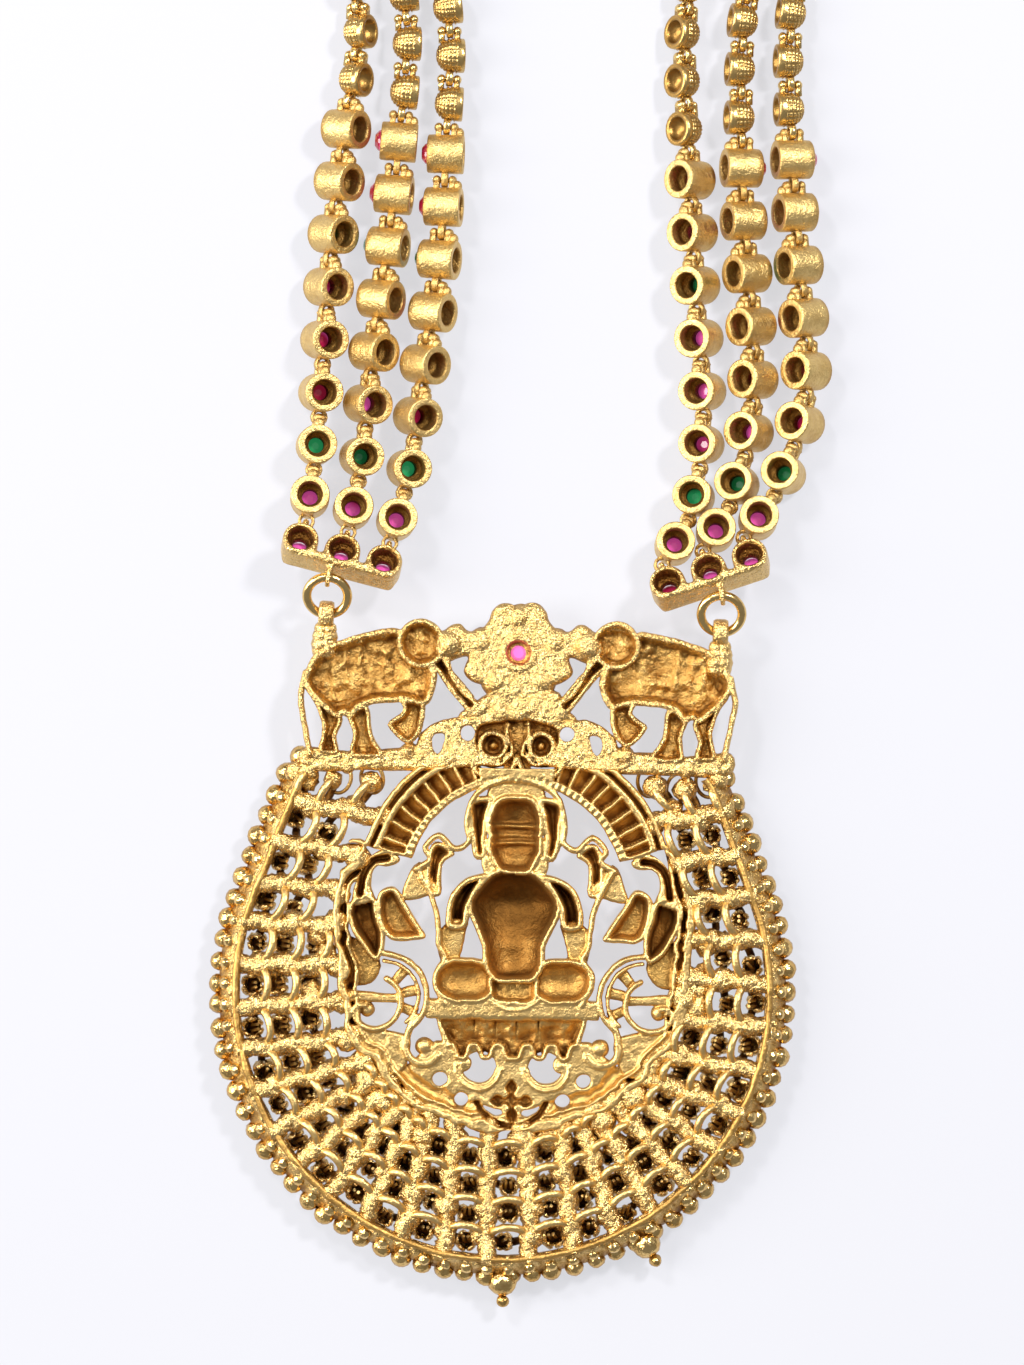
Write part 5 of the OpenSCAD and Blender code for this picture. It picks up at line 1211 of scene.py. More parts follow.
# %% Florets
petal_form = Matrix.Diagonal((1.1, 0.62, 1.5, 1))
petals = [moved(ball(0.7, 8, 5), Matrix.Rotation(a, 4, "Z") @ Matrix.Translation((0, 1.25, h)) @ petal_form)
          for a, h in ((0, 2.0), (math.pi, 2.0), (0.9, 0.8), (-0.9, 0.8), (2.2, 0.8), (-2.2, 0.8))]
cup = turned([(0.0, -0.3), (0.6, -0.1), (1.0, 0.7), (1.3, 1.4), (1.1, -0.3), (0.6, -1.0),
              (0.0, -1.1)][::-1], 10)
floret_shape = pattern_object("floret_pattern", gathered("floret_pattern", petals + [cup]))
floret_turns = [(rng.uniform(-0.25, 0.25), rng.uniform(-0.25, 0.25), a) for a in floret_ways]
floret_sizes = rng.uniform(0.76, 1.04, len(floret_spots))
floret_points = point_object("floret_points", placed(floret_spots), floret_turns, floret_sizes)
floret_mesh = grow(setting_tree, floret_points,
                   {"Shape": floret_shape, "Grain size": 0.6 * MM, "Grain depth": 0.6 * MM,
                    "Material": rough_gold})
# Painted shade on the florets, darker the lower they lie.
paint_shade_by_height(floret_mesh, 3.6, -6.0)
finish_piece("lattice_florets", floret_mesh, ["pendant"], rough_gold)
pin_mesh = grow(wire_tree, line_object("pin_lines", pin_paths),
                {"Thickness": 0.22 * MM, "Sides": 6, "Grain size": 0.9 * MM, "Grain depth": 0.06 * MM,
                 "Material": antique_gold})
# Painted shade on the pins, darker the lower they lie.
paint_shade_by_height(pin_mesh, 5.0, 2.0)
finish_piece("lattice_pins", pin_mesh, ["pendant"], antique_gold)

# %% [markdown]
# ## The beaded rim
# A row of large beads edges the rim, and a small bead sits on the inner side of each. Between
# them and the smooth ridge wire is a rough sloping band of solder. The band is swept along the
# rim's line; the beads are set on points of the same line, each a little off in place and size.

# %% Rim line
def rim_line(radius, pitch):
    """Points along the rim at a radius, from the left shoulder round the bottom to the right."""
    turn = math.radians(rim_turn)
    n_arc = int(math.pi / 180 * rim_radius * (90 + rim_turn) / pitch)
    n_line = int((rim_straight - 0.6) / pitch)
    half = [straight_spot(radius, (n_line - i - 0.5) * pitch) for i in range(n_line)]
    step = (math.pi / 2 + turn) / n_arc
    half += [radius * np.array([-math.cos(turn - (i + 0.5) * step), math.sin(turn - (i + 0.5) * step)])
             for i in range(n_arc)]
    end, shoulder = straight_spot(radius, rim_straight), np.array([-24.6, 31.4])
    way = shoulder - straight_spot(rim_radius - 0.9, rim_straight)
    way = way / np.linalg.norm(way)
    half = [end + way * (pitch * k + 0.5) for k in (1, 0)] + half
    return np.array(half + [np.array([-p[0], p[1]]) for p in half[::-1]])


def line_steps(points):
    """How far along a line each of its points is."""
    return np.concatenate([[0], np.cumsum(np.linalg.norm(np.diff(points, axis=0), axis=1))])


def stations(points, n):
    """The same line with n points at even steps."""
    steps = line_steps(points)
    return np.stack([np.interp(np.linspace(0, steps[-1], n), steps, points[:, k]) for k in (0, 1)], 1)


band_section = [(34.1, 5.0), (34.2, 5.8), (34.6, 6.05), (35.0, 6.0), (35.35, 5.8), (35.7, 5.4), (36.1, 4.8),
                (36.5, 4.1), (36.9, 3.4), (37.0, 2.8), (36.7, 2.3), (36.1, 2.3), (35.2, 3.6)]
n_rail = 1000
rails = [stations(rim_line(r, 1.0), n_rail) for r, z in band_section]
band_points = np.concatenate([np.column_stack([rail, np.full(n_rail, z)])
                              for rail, (_, z) in zip(rails, band_section)])
rail_starts = [k * n_rail for k in range(len(band_section))]
quads = np.array([[a + i, b + i, b + i + 1, a + i + 1]
                  for a, b in zip(rail_starts, rail_starts[1:] + rail_starts[:1])
                  for i in range(n_rail - 1)])
caps = np.array([rail_starts[::-1], [a + n_rail - 1 for a in rail_starts]])
band_x, band_y = band_points[:, 0].copy(), band_points[:, 1].copy()
band_points[:, 2] += 0.8 * patchy(band_x, band_y, 0.55, 21) + 0.8 * patchy(band_x, band_y, 1.2, 22)
band_mesh = mesh_from_arrays("rim_band", placed(band_points), [quads, caps])
# Painted shade on the band, darker the lower it lies.
paint_shade_by_height(band_mesh, 6.2, 1.0)
finish_piece("rim_band", band_mesh, ["pendant"], rough_gold)

# %% [markdown]
# Beads are set on the rim's line, large ones outside and small ones inside, and two ball drops
# hang below. A ridge wire runs along the inner side of the band and covers its joint.

# %% Rim beads and ridge wire
drop_r, tip_r, drop_gap, ridge_step = 1.95, 0.85, 0.6, 0.7
rim_spots, rim_sizes = [], []
for radius, height, size in ((rim_radius, bead_z, 1.36), (36.0, 4.7, 0.9)):
    row = rim_line(radius, bead_pitch)
    jitter = rng.normal(0, 0.08, (len(row), 3))
    rim_spots.append(np.column_stack([row, np.full(len(row), height)]) + jitter)
    rim_sizes.append(size * rng.uniform(0.92, 1.08, len(row)))
drops = []
for t in np.radians([0.9, 30.5]):
    root = rim_radius + 0.75 * bead_r
    for reach, size in ((root, drop_r), (root + drop_r + drop_gap, tip_r)):
        drops.append((reach * math.sin(t), -reach * math.cos(t), bead_z, size))
rim_spots = np.concatenate(rim_spots + [np.array(drops)[:, :3]])
rim_sizes = np.concatenate(rim_sizes + [np.array(drops)[:, 3]])
rim_mesh = grow(setting_tree, point_object("rim_points", placed(rim_spots), None, rim_sizes),
                {"Shape": bead_shape, "Grain size": 0.9 * MM, "Grain depth": 0.35 * MM,
                 "Material": shot_gold})
# Painted shade on the beads and drops, darker the lower they lie.
paint_shade_by_height(rim_mesh, 4.8, -1.5)
finish_piece("rim_beads", rim_mesh, ["pendant"], shot_gold)
ridge_rail = rim_line(wire_radius, 1.0)
ridge = stations(ridge_rail, int(line_steps(ridge_rail)[-1] / ridge_step) + 1)
ridge = np.column_stack([ridge, 6.15 + 0.12 * np.sin(np.arange(len(ridge)) * 0.35)])
ridge_mesh = grow(wire_tree, line_object("ridge_line", [placed(ridge)]),
                  {"Thickness": 0.46 * MM, "Sides": 10, "Grain size": 1.3 * MM, "Grain depth": 0.5 * MM,
                   "Material": rough_gold})
# Painted shade on the ridge wire, darker the lower it lies.
paint_shade_by_height(ridge_mesh, 7.4, 4.4)
finish_piece("rim_ridge", ridge_mesh, ["pendant"], antique_gold)
print(len(rim_spots), "beads on the rim")

# %% [markdown]
# ## The strands
# Six strands of hinged links hang from two spacer bars: eight stone collets, then granulated
# domes, round a hidden neck loop. The route is the same few chosen points as in the CAD model:
# a smooth curve through them, and each link ends where the next begins, one pitch further on.
# A row of `chosen` is a place in mm and how far the link has rolled over, in degrees.

# %% Routes
collet_pitch, cup_r, cup_h, n_collets = 6.9, 2.55, 4.7, 8
dome_pitch, dome_r, n_domes = 6.3, 2.25, 18
stone_r, stone_out, lift = 1.5, 0.95, 0.12
bar_at = [(-20.9, 56.7, -14.7), (26.9, 54.3, 18.4)]
bar_tilt, bar_z, bar_pitch, bar_half, bar_deep = 30, 6.3, 5.6, 2.4, 4.2
bar_joint = bar_half + 1.05
loop_x, loop_y, loop_r, strand_gap, run_in = 9, 202, 56, 6.2, 52
loop_angles = [-30, -10, 10, 30, 50, 70, 90]
chosen = [
    [[(-24.3, 70.5, 6), (-23.3, 84, 24), (-22.2, 98, 43), (-20.6, 111.4, 56), (-18.9, 129, 62)],
     [(-18.5, 68.4, 12), (-17, 82.1, 42), (-15.1, 95.8, 72), (-13.6, 110.1, 90), (-12.8, 129, 95)],
     [(-12.2, 67.6, 14), (-10.2, 81.3, 44), (-8.2, 95.6, 74), (-7.4, 109.9, 88), (-7.3, 129, 96)]],
    [[(24.7, 62.7, -8), (26.2, 74.9, -22), (25.3, 89.1, -30), (24.6, 103.1, -43), (24.1, 129, -55)],
     [(30.3, 64.8, -14), (32.7, 77.1, -40), (32.1, 91.3, -52), (31.2, 105.1, -74), (31.8, 129, -80)],
     [(36.1, 65.9, -14), (39.7, 78.4, -42), (38.8, 92.2, -56), (37.9, 106, -74), (37.9, 129, -82)]]]


def cosd(a):
    return math.cos(math.radians(a))


def sind(a):
    return math.sin(math.radians(a))


def on_bar(side, v):
    """A place on a spacer bar, as it lies tilted and turned."""
    cx, cy, turn = bar_at[side]
    w = (v[0], v[1] * cosd(bar_tilt) + v[2] * sind(bar_tilt),
         -v[1] * sind(bar_tilt) + v[2] * cosd(bar_tilt))
    return np.array([cx + w[0] * cosd(turn) - w[1] * sind(turn), cy + w[0] * sind(turn) + w[1] * cosd(turn),
                     bar_z + w[2]])


def collet_rest(a):
    """The height of a collet's middle when it lies on the ground, rolled by an angle."""
    return lift + max(cup_h / 2 * cosd(a) + cup_r * abs(sind(a)),
                      (cup_h / 2 + stone_out - 0.2) * cosd(a) + 0.5 * abs(sind(a)))


def dome_rest(a):
    """The same for a dome link."""
    return lift + dome_r - min(0.35, 0.35 * cosd(a))


def on_loop(side, off, a):
    """A place on the hidden neck loop."""
    way = -1 if side == 0 else 1
    return [loop_x + way * (loop_r + off) * cosd(a), loop_y + (loop_r + off) * sind(a), dome_rest(0), 0]


def route(side, k):
    """All points of a strand's route: its joint on the bar, the chosen points, then the loop."""
    way = -1 if side == 0 else 1
    off = (1 - k if side == 0 else k - 1) * strand_gap
    joint = on_bar(side, ((k - 1) * bar_pitch, bar_joint, 0))
    points = [[*joint, 0]]
    for i, (x, y, roll) in enumerate(chosen[side][k]):
        points.append([x, y, collet_rest(roll) if i < 4 else dome_rest(roll), roll])
    end = on_loop(side, off, loop_angles[0])
    u = run_in * np.array([way * sind(6), cosd(6)])
    v = run_in * np.array([-way * sind(loop_angles[0]), cosd(loop_angles[0])])
    for t in (1 / 3, 2 / 3):
        r = (2 * t ** 3 - 3 * t * t + 1) * np.array([x, y]) + (t ** 3 - 2 * t * t + t) * u
        r = r + (3 * t * t - 2 * t ** 3) * np.array(end[:2]) + (t ** 3 - t * t) * v
        points.append([*r, dome_rest(roll * (1 - t)), roll * (1 - t)])
    return np.array(points + [on_loop(side, off, a) for a in loop_angles], float)


def smooth_at(p, t):
    """A place on the smooth curve through points; t counts the points."""
    n = len(p) - 1
    i = min(int(math.floor(t)), n - 1)
    return between(p[max(i - 1, 0)], p[i], p[i + 1], p[min(i + 2, n)], t - i)


def joints_of(p):
    """Where each link's eye is: one pitch from the last, along the smooth route."""
    t, found = 0.0, [smooth_at(p, 0)]
    for i in range(n_collets + n_domes):
        pitch, low, high = (collet_pitch if i < n_collets else dome_pitch), t, min(t + 1, len(p) - 1)
        for _ in range(20):
            middle = (low + high) / 2
            if np.linalg.norm(smooth_at(p, middle)[:3] - found[-1][:3]) < pitch:
                low = middle
            else:
                high = middle
        t = (low + high) / 2
        found.append(smooth_at(p, t))
    return found


def link_matrix(a, b):
    """A link lies from its eye at a towards b: heading, slope, then roll."""
    d = b[:3] - a[:3]
    heading = math.atan2(d[1], d[0]) - math.pi / 2
    slope = math.asin(d[2] / np.linalg.norm(d))
    roll = math.radians((a[3] + b[3]) / 2)
    m = Matrix.Rotation(heading, 4, "Z") @ Matrix.Rotation(slope, 4, "X") @ Matrix.Rotation(roll, 4, "Y")
    m.translation = Vector((a[:3] + from_rim) * MM)
    return m


joints = [[joints_of(route(side, k)) for k in range(3)] for side in (0, 1)]
links = [[[link_matrix(a, b) for a, b in zip(eyes, eyes[1:])] for eyes in strands] for strands in joints]
first_eye = [round(v * 1000, 1) for v in links[0][0][0].translation]
print("links in a strand:", len(links[0][0]), " first eye, mm:", first_eye)

# %% [markdown]
# ## Two kinds of link
# A collet link is a turned cup with a wide bore behind, the stone's seat in front, an eye at one
# end and a fork with a pin at the other. A dome link has a round front covered in grains. Each
# grain is a small face whose middle is drawn inwards and lifted in two steps.

# %% Link shapes
def block(x0, x1, y0, y1, z0, z1):
    """A plain block between two corners."""
    p = np.array([(x, y, z) for z in (z0, z1) for y in (y0, y1) for x in (x0, x1)], float)
    return p, [[0, 2, 3, 1], [4, 5, 7, 6], [0, 1, 5, 4], [2, 6, 7, 3], [0, 4, 6, 2], [1, 3, 7, 5]]


def ring_shape(hole, outer, thick, around=12):
    """A flat eye with rounded edges, turned round z."""
    h, e = thick / 2, 0.1
    return turned([(hole, -h + e), (hole + e, -h), (outer - e, -h), (outer, -h + e), (outer, h - e),
                   (outer - e, h),
                   (hole + e, h), (hole, h - e)], around, closed=True)


def fork_and_eye(pitch, radius):
    """Eye at the start, two cheeks with round heads and a pin at the end."""
    parts = [moved(ring_shape(0.68, 1.12, 0.86), Matrix.Translation((0, 0.22, 0)))]
    for s in (-1, 1):
        z = s * (0.6 + 0.42)
        head = Matrix.Translation((0, pitch, z)) @ Matrix.Diagonal((1.55, 1.1, 1, 1))
        parts.append(moved(ball(0.6, 10, 6), head))
        parts.append(block(-0.7, 0.7, pitch / 2 + radius - 0.6, pitch - 0.1, z - 0.36, z + 0.36))
    pin = turned([(0, -1.1), (0.28, -1.1), (0.28, 1.1), (0, 1.1)], 8)
    parts.append(moved(pin, Matrix.Translation((0, pitch, 0))))
    return parts


cup_section = [(2.46, 2.36), (2.36, 2.38), (1.82, 2.38), (1.71, 2.35), (1.64, 2.26), (1.62, 2.05),
               (1.6, 0.75), (1.5, 0.35), (1.05, 0.25), (1.02, -1.1), (1.6, -1.15), (1.6, -2.2),
               (1.7, -2.36), (2.35, -2.36), (2.5, -2.2), (2.56, -1.4), (2.5, -0.9), (2.56, 0.2),
               (2.57, 1.5), (2.56, 2.12), (2.53, 2.29)]
collet = moved(turned(cup_section[::-1], 28, closed=True), Matrix.Translation((0, collet_pitch / 2, 0)))
ear_place = Matrix.Translation((0, collet_pitch / 2 + 2.7, 1.72)) @ Matrix.Diagonal((1, 1.1, 0.85, 1))
ear = moved(ball(0.72, 12, 8), ear_place)
collet_mesh = gathered("collet_link", [collet, ear] + fork_and_eye(collet_pitch, cup_r))

dome_around = 20
dome_rows = [(2.08 * math.cos(a), 0.35 - 2.08 * math.sin(a))
             for a in np.linspace(0.1, math.pi / 2 - 0.14, 6)]
dome_section = [(1.45, 0.62), (1.5, 1.8), (1.62, 1.95), (2.1, 1.95), (2.24, 1.84), (2.26, 1.35), (2.2, 1.0),
                (2.08, 0.75)] + dome_rows
dome_points, dome_faces = turned(dome_section + [(0.0, -1.76)], dome_around)
dome_faces.append(list(range(dome_around)))


def grained(points, faces):
    """Turns each face in front of the rim into a small round grain."""
    points, out = points.tolist(), []
    for f in faces:
        centre = np.mean([points[i] for i in f], axis=0)
        out_of_axis = math.hypot(centre[0], centre[1])
        if len(f) == 4 and centre[2] < 1.0 and (out_of_axis > 2.0 or centre[2] < 0.3):
            away = centre - [0, 0, min(centre[2], 0.35)]
            away = away / np.linalg.norm(away)
            inner = []
            for i in f:
                points.append((centre + 0.62 * (np.array(points[i]) - centre) + 0.15 * away).tolist())
                inner.append(len(points) - 1)
            points.append((centre + 0.24 * away).tolist())
            for i in range(4):
                j = (i + 1) % 4
                out += [[f[i], f[j], inner[j], inner[i]], [inner[i], inner[j], len(points) - 1]]
        else:
            out.append(f)
    return np.array(points), out


def shade_link(mesh, rule):
    """Marks how hollow each point of a link is, by a rule of its place in the link, in mm."""
    x, y, z = (mesh_points(mesh) / MM).T
    set_hollow(mesh, rule(x, y, z))


dome = grained(dome_points, dome_faces)
dome = moved(dome, Matrix.Translation((0, dome_pitch / 2, 0)))
dome_mesh = gathered("dome_link", [dome] + fork_and_eye(dome_pitch, dome_r))

def collet_shade(x, y, z):
    """Painted shade down the bore and at the cup's front edge; pale on the rim, a little darker on eyes and
    fork.
    """
    out = np.hypot(x, y - collet_pitch / 2)
    in_cup = np.where(out < 1.8, 0.3 + (2.3 - z) * 0.2, 0.05 + 0.25 * (z < -2))
    return np.where(out > 2.62, 0.2, in_cup)


def dome_shade(x, y, z):
    """Painted shade: dark inside and between the grains, bright on top of them."""
    out = np.sqrt(x ** 2 + (y - dome_pitch / 2) ** 2 + np.minimum(z - 0.35, 0) ** 2)
    return np.where(out < 1.7, 0.55, (2.36 - out) * 1.3) * (out < 2.6)


shade_link(collet_mesh, collet_shade)
shade_link(dome_mesh, dome_shade)
for mesh in (collet_mesh, dome_mesh):
    faces_outward(mesh)
    mesh.calc_loop_triangles()
    print(mesh.name, len(mesh.loop_triangles), "triangles")

# %% [markdown]
# ## Geometry Nodes: a string of two kinds of links
# Each strand is one body, as its CAD node is: this tree sets collets on the points whose `size`
# is 0 and domes on the others, gives each its own gold, and joins them.

# %% The string tree
STRING_INPUTS = [("Collet", "NodeSocketObject", None), ("Dome", "NodeSocketObject", None),
                 ("Collet gold", "NodeSocketMaterial", None), ("Dome gold", "NodeSocketMaterial", None)]
string_tree, given = new_tree("string_of_links", STRING_INPUTS)
spots = add_node(string_tree, "GeometryNodeMeshToPoints", {"Mesh": (given, "Geometry")})
turns = add_node(string_tree, "GeometryNodeInputNamedAttribute", {"Name": "turn"}, data_type="FLOAT_VECTOR")
kinds = add_node(string_tree, "GeometryNodeInputNamedAttribute", {"Name": "size"}, data_type="FLOAT")
is_dome = add_node(string_tree, "FunctionNodeCompare",
                   {"A": (kinds, 0), "B": 0.5}, data_type="FLOAT", operation="GREATER_THAN")
is_collet = add_node(string_tree, "FunctionNodeBooleanMath", {0: (is_dome, 0)}, operation="NOT")
both = add_node(string_tree, "GeometryNodeJoinGeometry")
for shape, gold, chosen_points in (("Collet", "Collet gold", is_collet), ("Dome", "Dome gold", is_dome)):
    info = add_node(string_tree, "GeometryNodeObjectInfo", {"Object": (given, shape)})
    set_links = add_node(string_tree, "GeometryNodeInstanceOnPoints",
                         {"Points": (spots, 0), "Selection": (chosen_points, 0),
                          "Instance": (info, "Geometry"), "Rotation": (turns, 0)})
    real = add_node(string_tree, "GeometryNodeRealizeInstances", {"Geometry": (set_links, 0)})
    gilded = add_node(string_tree, "GeometryNodeSetMaterial",
                      {"Geometry": (real, 0), "Material": (given, gold)})
    string_tree.links.new(gilded.outputs[0], both.inputs[0])
add_node(string_tree, "NodeGroupOutput", {"Geometry": (both, 0)})

# %% [markdown]
# Each strand is grown from the list of its links' places. The domes take a gold of their own,
# granulated, with painted shade: bright on top of each grain and dark in the gaps between them.

# %% Strand pieces
granulated_gold = gold_material("granulated_gold", satin_steps, 0.28, 0.3, 0.05, grime=0.35)
collet_shape = pattern_object("collet_pattern", collet_mesh)
dome_shape = pattern_object("dome_pattern", dome_mesh)
strand_names = [["left_outer", "left_middle", "left_inner"], ["right_inner", "right_middle", "right_outer"]]
for side in (0, 1):
    for k in range(3):
        ms = links[side][k]
        carrier = point_object("strand_points", [m.translation for m in ms],
                               [list(m.to_euler("XYZ")) for m in ms],
                               [0.0] * n_collets + [1.0] * n_domes)
        mesh = grow(string_tree, carrier,
                    {"Collet": collet_shape, "Dome": dome_shape, "Collet gold": satin_gold,
                     "Dome gold": granulated_gold})
        name = "strand_" + strand_names[side][k]
        finish_piece(name + "_links", mesh, [name], smooth=True)

# %% [markdown]
# ## Stones
# Each stone is a round cut: a flat table, a crown of sixteen facets in two rows and a pavilion
# behind. The green ones are the second and the sixth of every strand. One tree sets them all.

# %% Stones
def cut_stone(radius, out):
    """Table at -z, pavilion at +z; flat facets."""
    rows = [(0.52 * radius, -out), (0.86 * radius, -0.55 * out), (radius, -0.05), (radius, 0.25),
            (0.62 * radius, 0.75), (0.3 * radius, 0.9)]
    return turned([(0, -out)] + rows + [(0, 0.9)], 16)


stone_mesh = gathered("stone_pattern", [cut_stone(stone_r, stone_out)])
# Painted light: the rear facets are marked 1, which gives them the brighter glass colours.
shade_link(stone_mesh, lambda x, y, z: (z > -0.1) * 1.0)
stone_shape = pattern_object("stone_pattern", stone_mesh)
stone_spots = {"ruby": [], "emerald": []}
for side in (0, 1):
    for k in range(3):
        for i in range(n_collets):
            m = links[side][k][i] @ Matrix.Translation(Vector((0, collet_pitch / 2, -cup_h / 2 + 0.2)) * MM)
            stone_spots["emerald" if i in (1, 5) else "ruby"].append(m)
    for i in (-1, 0, 1):
        m = Matrix.Rotation(math.radians(bar_at[side][2]), 4,
                            "Z") @ Matrix.Rotation(math.radians(-bar_tilt), 4, "X")
        m.translation = Vector((on_bar(side, (i * bar_pitch, 0, -bar_deep / 2 - 0.1)) + from_rim) * MM)
        stone_spots["ruby"].append(m)
for colour, glass in (("ruby", ruby_glass), ("emerald", emerald_glass)):
    ms = stone_spots[colour]
    mesh = grow(setting_tree, point_object("stone_points", [m.translation for m in ms],
            [list(m.to_euler("XYZ")) for m in ms], 1.0),
            {"Shape": stone_shape, "Grain size": 1 * MM, "Grain depth": 0.0, "Material": glass})
    finish_piece("stones_" + colour, mesh, ["collet_stones_" + colour], glass,
                 smooth=False)

# %% [markdown]
# The flower's stone is set from behind, so it shows its table. It is the same cut turned over,
# in a foiled pink glass with a faint painted glow, which makes it look bright from every side.

# %% The flower's stone
flower_cut = moved(cut_stone(1.25, 0.9), Matrix.Rotation(math.pi, 4, "X"))
flower_points = placed(flower_cut[0] + [0, flower_y, back_z - 1.85], from_motif=True)
flower_mesh = bpy.data.meshes.new("flower_stone")
flower_mesh.from_pydata(flower_points.tolist(), [], flower_cut[1])
flower_mesh.update()
finish_piece("flower_stone", flower_mesh, ["pendant_stone"], pink_glass,
             smooth=False)

# %% [markdown]
# ## Spacer bars
# Each bar is three collets and a straight rail, cast together and tumbled, so every edge is
# round. The CAD solid has the right form but sharp edges. A merged copy of it is remeshed into
# small even faces and smoothed, which rounds the edges as tumbling does.

# %% Spacer bars
def tumbled_copy(node, voxel, passes, keep):
    """A copy of a CAD node's mesh with even faces and rounded edges."""
    copy = bpy.data.objects.new(node + "_copy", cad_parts[node].data.copy())
    bpy.context.scene.collection.objects.link(copy)
    weld = copy.modifiers.new("weld", "WELD")
    weld.merge_threshold = 1e-6
    even = copy.modifiers.new("even", "REMESH")
    even.mode, even.voxel_size = "VOXEL", voxel * MM
    soft = copy.modifiers.new("soft", "SMOOTH")
    soft.factor, soft.iterations = 0.7, passes
    fewer = copy.modifiers.new("fewer", "DECIMATE")
    fewer.ratio = keep
    bpy.context.view_layer.update()
    mesh = bpy.data.meshes.new_from_object(copy.evaluated_get(bpy.context.evaluated_depsgraph_get()))
    bpy.data.objects.remove(copy)
    return mesh


def round_corner(local, a, b, way_a, way_b, radius):
    """Pulls points that lie beyond a corner's arc back on to it."""
    body = local[np.abs(local[:, 0]) > 4.5]
    out_a = local[:, a] * way_a - (body[:, a] * way_a).max() + radius
    out_b = local[:, b] * way_b - (body[:, b] * way_b).max() + radius
    far = np.hypot(out_a, out_b)
    pull = np.where((out_a > 0) & (out_b > 0) & (far > radius), radius / np.maximum(far, 1e-9), 1) - 1
    local[:, a] += way_a * out_a * pull
    local[:, b] += way_b * out_b * pull


def finish_bar(mesh, side):
    """Rounds a bar's outer corners and paints shade into its bores, darker towards their bottom."""
    turned_bar = Matrix.Rotation(math.radians(bar_at[side][2]), 3,
                                 "Z") @ Matrix.Rotation(math.radians(-bar_tilt), 3, "X")
    axes = np.array(turned_bar)
    middle = on_bar(side, (0, 0, 0)) + from_rim
    local = (mesh_points(mesh) / MM - middle) @ axes
    lug = (np.abs(local[:, 0]) < 1.5) & (local[:, 1] < -3)
    kept = local[lug]
    for end in (-1, 1):
        round_corner(local, 0, 1, end, -1, 2.0)
        round_corner(local, 0, 2, end, 1, 0.7)
        round_corner(local, 0, 2, end, -1, 0.7)
        round_corner(local, 1, 2, -1, end, 0.7)
    local[lug] = kept
    mesh.vertices.foreach_set("co", ((local @ axes.T + middle) * MM).astype(np.float32).ravel())
    # Painted shade in the bores, darker the deeper they go.
    out = np.min([np.hypot(local[:, 0] - i * bar_pitch, local[:, 1]) for i in (-1, 0, 1)], axis=0)
    hollow = np.where((out < 1.85) & (local[:, 2] < 2.0), 0.4 + 0.15 * (2.0 - local[:, 2]), 0)
    set_hollow(mesh, np.minimum(hollow, 0.95))
    print("bar", side, "from", local.min(0).round(2), "to", local.max(0).round(2), "mm")


for place, side in enumerate(("left", "right")):
    mesh = tumbled_copy("spacer_bar_" + side, 0.16, 60, 0.3)
    finish_bar(mesh, place)
    finish_piece("spacer_" + side, mesh, ["spacer_bar_" + side], rough_gold)

# %% [markdown]
# ## Bails
# A bail is a short cast eye on the pendant's shoulder, with a foot of melted lumps. It stands
# where its jump ring touches it, so its place is worked out from the bar's lug and the ring.

# %% Bails
jump_r, jump_wire, bail_z = 2.65, 0.6, back_z - 0.9
lug_x, bail_side = (-0.9, 0.6), [(-22.9, 48.7), (28.3, 46.4)]
bail_shapes = []
for side in (0, 1):
    t = on_bar(side, (lug_x[side], -(bar_half + 1.15) - 0.1, 0))
    c = t[:2]
    reach = math.sqrt(4 * jump_r ** 2 - (t[2] - bail_z) ** 2)
    way = (np.array(bail_side[side]) - c) / np.linalg.norm(np.array(bail_side[side]) - c)
    spot = c + reach * way
    heading = math.atan2(-way[1], -way[0]) - math.pi / 2
    at = Matrix.Translation((*spot, bail_z)) @ Matrix.Rotation(heading, 4, "Z")
    eye = moved(turned([(1.0, -0.8), (1.15, -1.0), (1.6, -0.95), (1.78, -0.6), (1.78, 0.6), (1.6, 0.95),
                        (1.15, 1.0), (1.0, 0.8)], 20, closed=True), Matrix.Rotation(math.pi / 2, 4, "Y"))
    bail_shapes.append(moved(eye, at))
    for dy, dz, r in ((-1.9, -0.2, 1.05), (-2.9, -0.3, 1.25), (-3.9, -0.4, 1.35), (-4.7, -0.5, 1.2)):
        for dx in (-0.45, 0.45):
            bail_shapes.append(moved(ball(r, 12, 8), at @ Matrix.Translation((dx, dy, dz))))
bail_shapes = [(p + from_rim, f) for p, f in bail_shapes]
bail_mesh = gathered("bails", bail_shapes)
faces_outward(bail_mesh)
finish_piece("pendant_bails", bail_mesh, ["pendant"], rough_gold)

# %% [markdown]
# Rings, end bars, back chains and clasp are plain polished wire and sheet. Their CAD shape is
# right, so only their material slots change. The patterns that were set on points go away.

# %% CAD nodes that stay
for node in ("jump_ring_left", "jump_ring_right", "end_bar_left", "end_bar_right", "back_chain_left",
             "back_chain_right", "clasp"):
    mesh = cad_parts[node].data
    mesh.materials.clear()
    mesh.materials.append(wire_gold)

for shape in (bead_shape, floret_shape, lump_shape, collet_shape, dome_shape, stone_shape):
    bpy.data.objects.remove(shape)

# %% [markdown]
# ## Floor and light
# The necklace lies on a pale, faintly bluish sheet. The sheet glows a little, which stands for
# the light of a bright room and keeps the shadows on it pale.

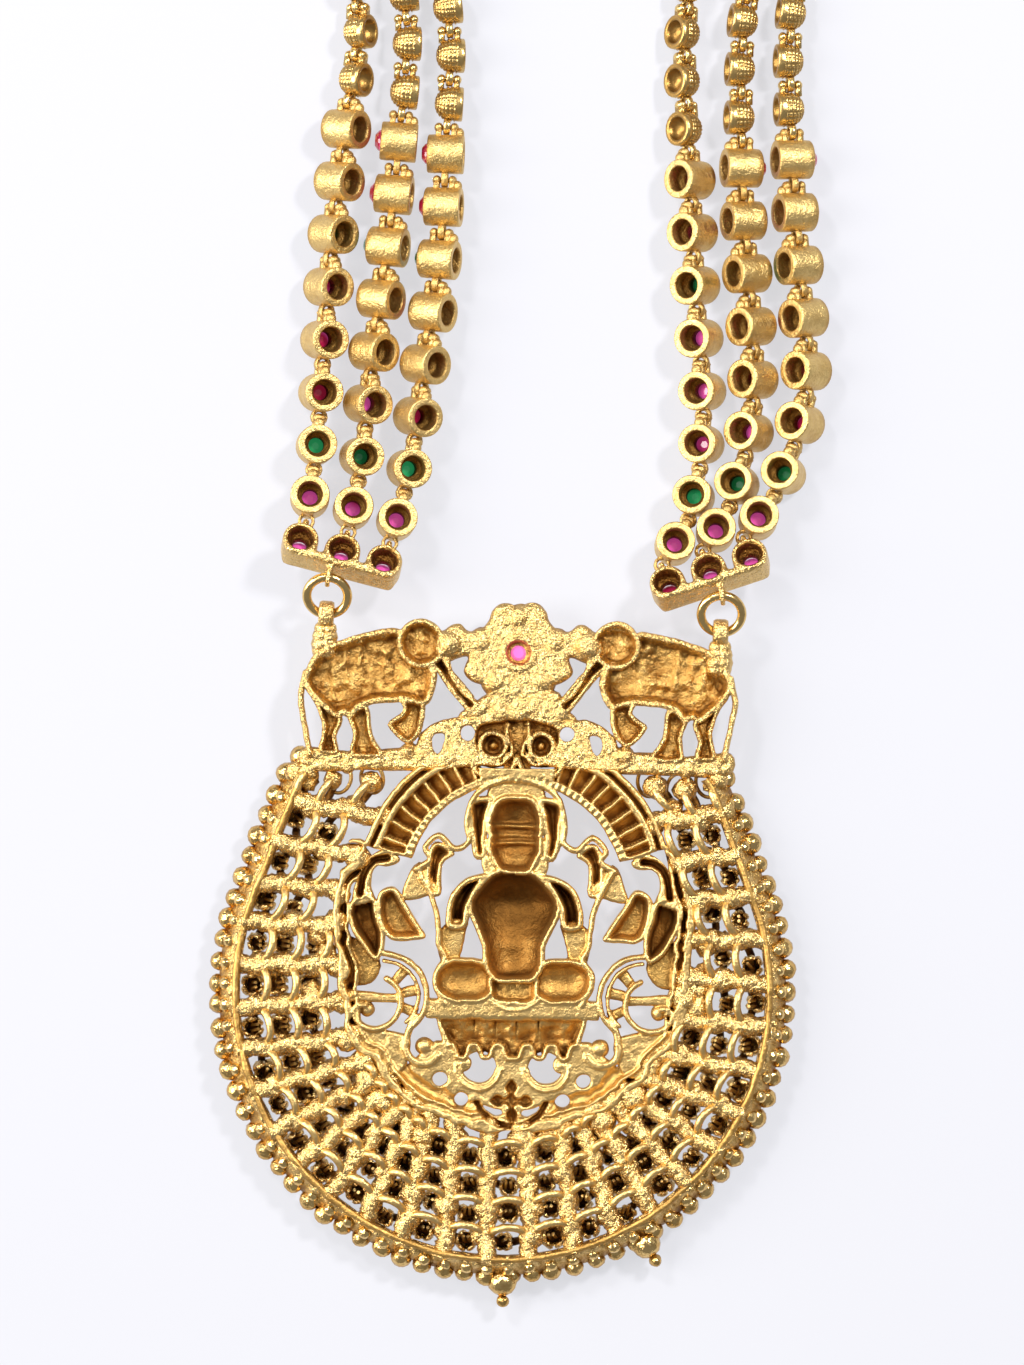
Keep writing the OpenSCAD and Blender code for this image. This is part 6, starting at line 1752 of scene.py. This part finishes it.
# %% Floor
floor_mesh = bpy.data.meshes.new("pale_sheet")
half, under = 1.6, cad_low.z - 0.03 * MM
sheet_corners = [(-half, -half, under), (half, -half, under), (half, half, under), (-half, half, under)]
floor_mesh.from_pydata(sheet_corners, [], [(0, 1, 2, 3)])
floor = bpy.data.objects.new("pale_sheet", floor_mesh)
bpy.context.scene.collection.objects.link(floor)
sheet, tree = new_material("pale_matt_sheet")
surface = add_node(tree, "ShaderNodeBsdfPrincipled",
                   {"Base Color": screen_colour("#6E6D72"), "Roughness": 0.75,
                    "Emission Color": screen_colour("#F6F7FC"), "Emission Strength": 0.68})
add_node(tree, "ShaderNodeOutputMaterial", {"Surface": (surface, "BSDF")})
floor_mesh.materials.append(sheet)

# %% [markdown]
# A broad window at the left gives soft shadows to the right. Two small lamps above, one at the
# right and one at the left, give the sharp glints. The room is kept dim, because gold needs
# something dark to reflect, or it looks like paint.

# %% Light
def softbox(name, place, aim, width, height, power, colour="#FFFFFF"):
    data = bpy.data.lights.new(name, "AREA")
    data.shape, data.size, data.size_y, data.energy = "RECTANGLE", width, height, power
    data.color = screen_colour(colour)[:3]
    lamp = bpy.data.objects.new(name, data)
    lamp.location = place
    lamp.rotation_euler = (Vector(aim) - Vector(place)).to_track_quat("-Z", "Y").to_euler()
    bpy.context.scene.collection.objects.link(lamp)


centre = (-0.008, -0.07, 0.0)
softbox("window_left", (-0.8, 0.0, 0.55), centre, 0.45, 0.9, 12.5, "#FFFDF8")
softbox("lamp_top_right", (0.36, 0.28, 0.62), centre, 0.1, 0.1, 5.2, "#FFFFFF")
softbox("lamp_top_left", (-0.3, 0.35, 0.6), centre, 0.1, 0.1, 2.6, "#FFFFFF")
world = bpy.data.worlds.new("pale_room")
bpy.context.scene.world = world
world.use_nodes = True
world.node_tree.nodes.clear()
sky = add_node(world.node_tree, "ShaderNodeBackground",
               {"Color": screen_colour("#EDEFF8"), "Strength": 0.32})
add_node(world.node_tree, "ShaderNodeOutputWorld", {"Surface": (sky, "Background")})
bpy.context.scene.view_settings.view_transform = "Standard"
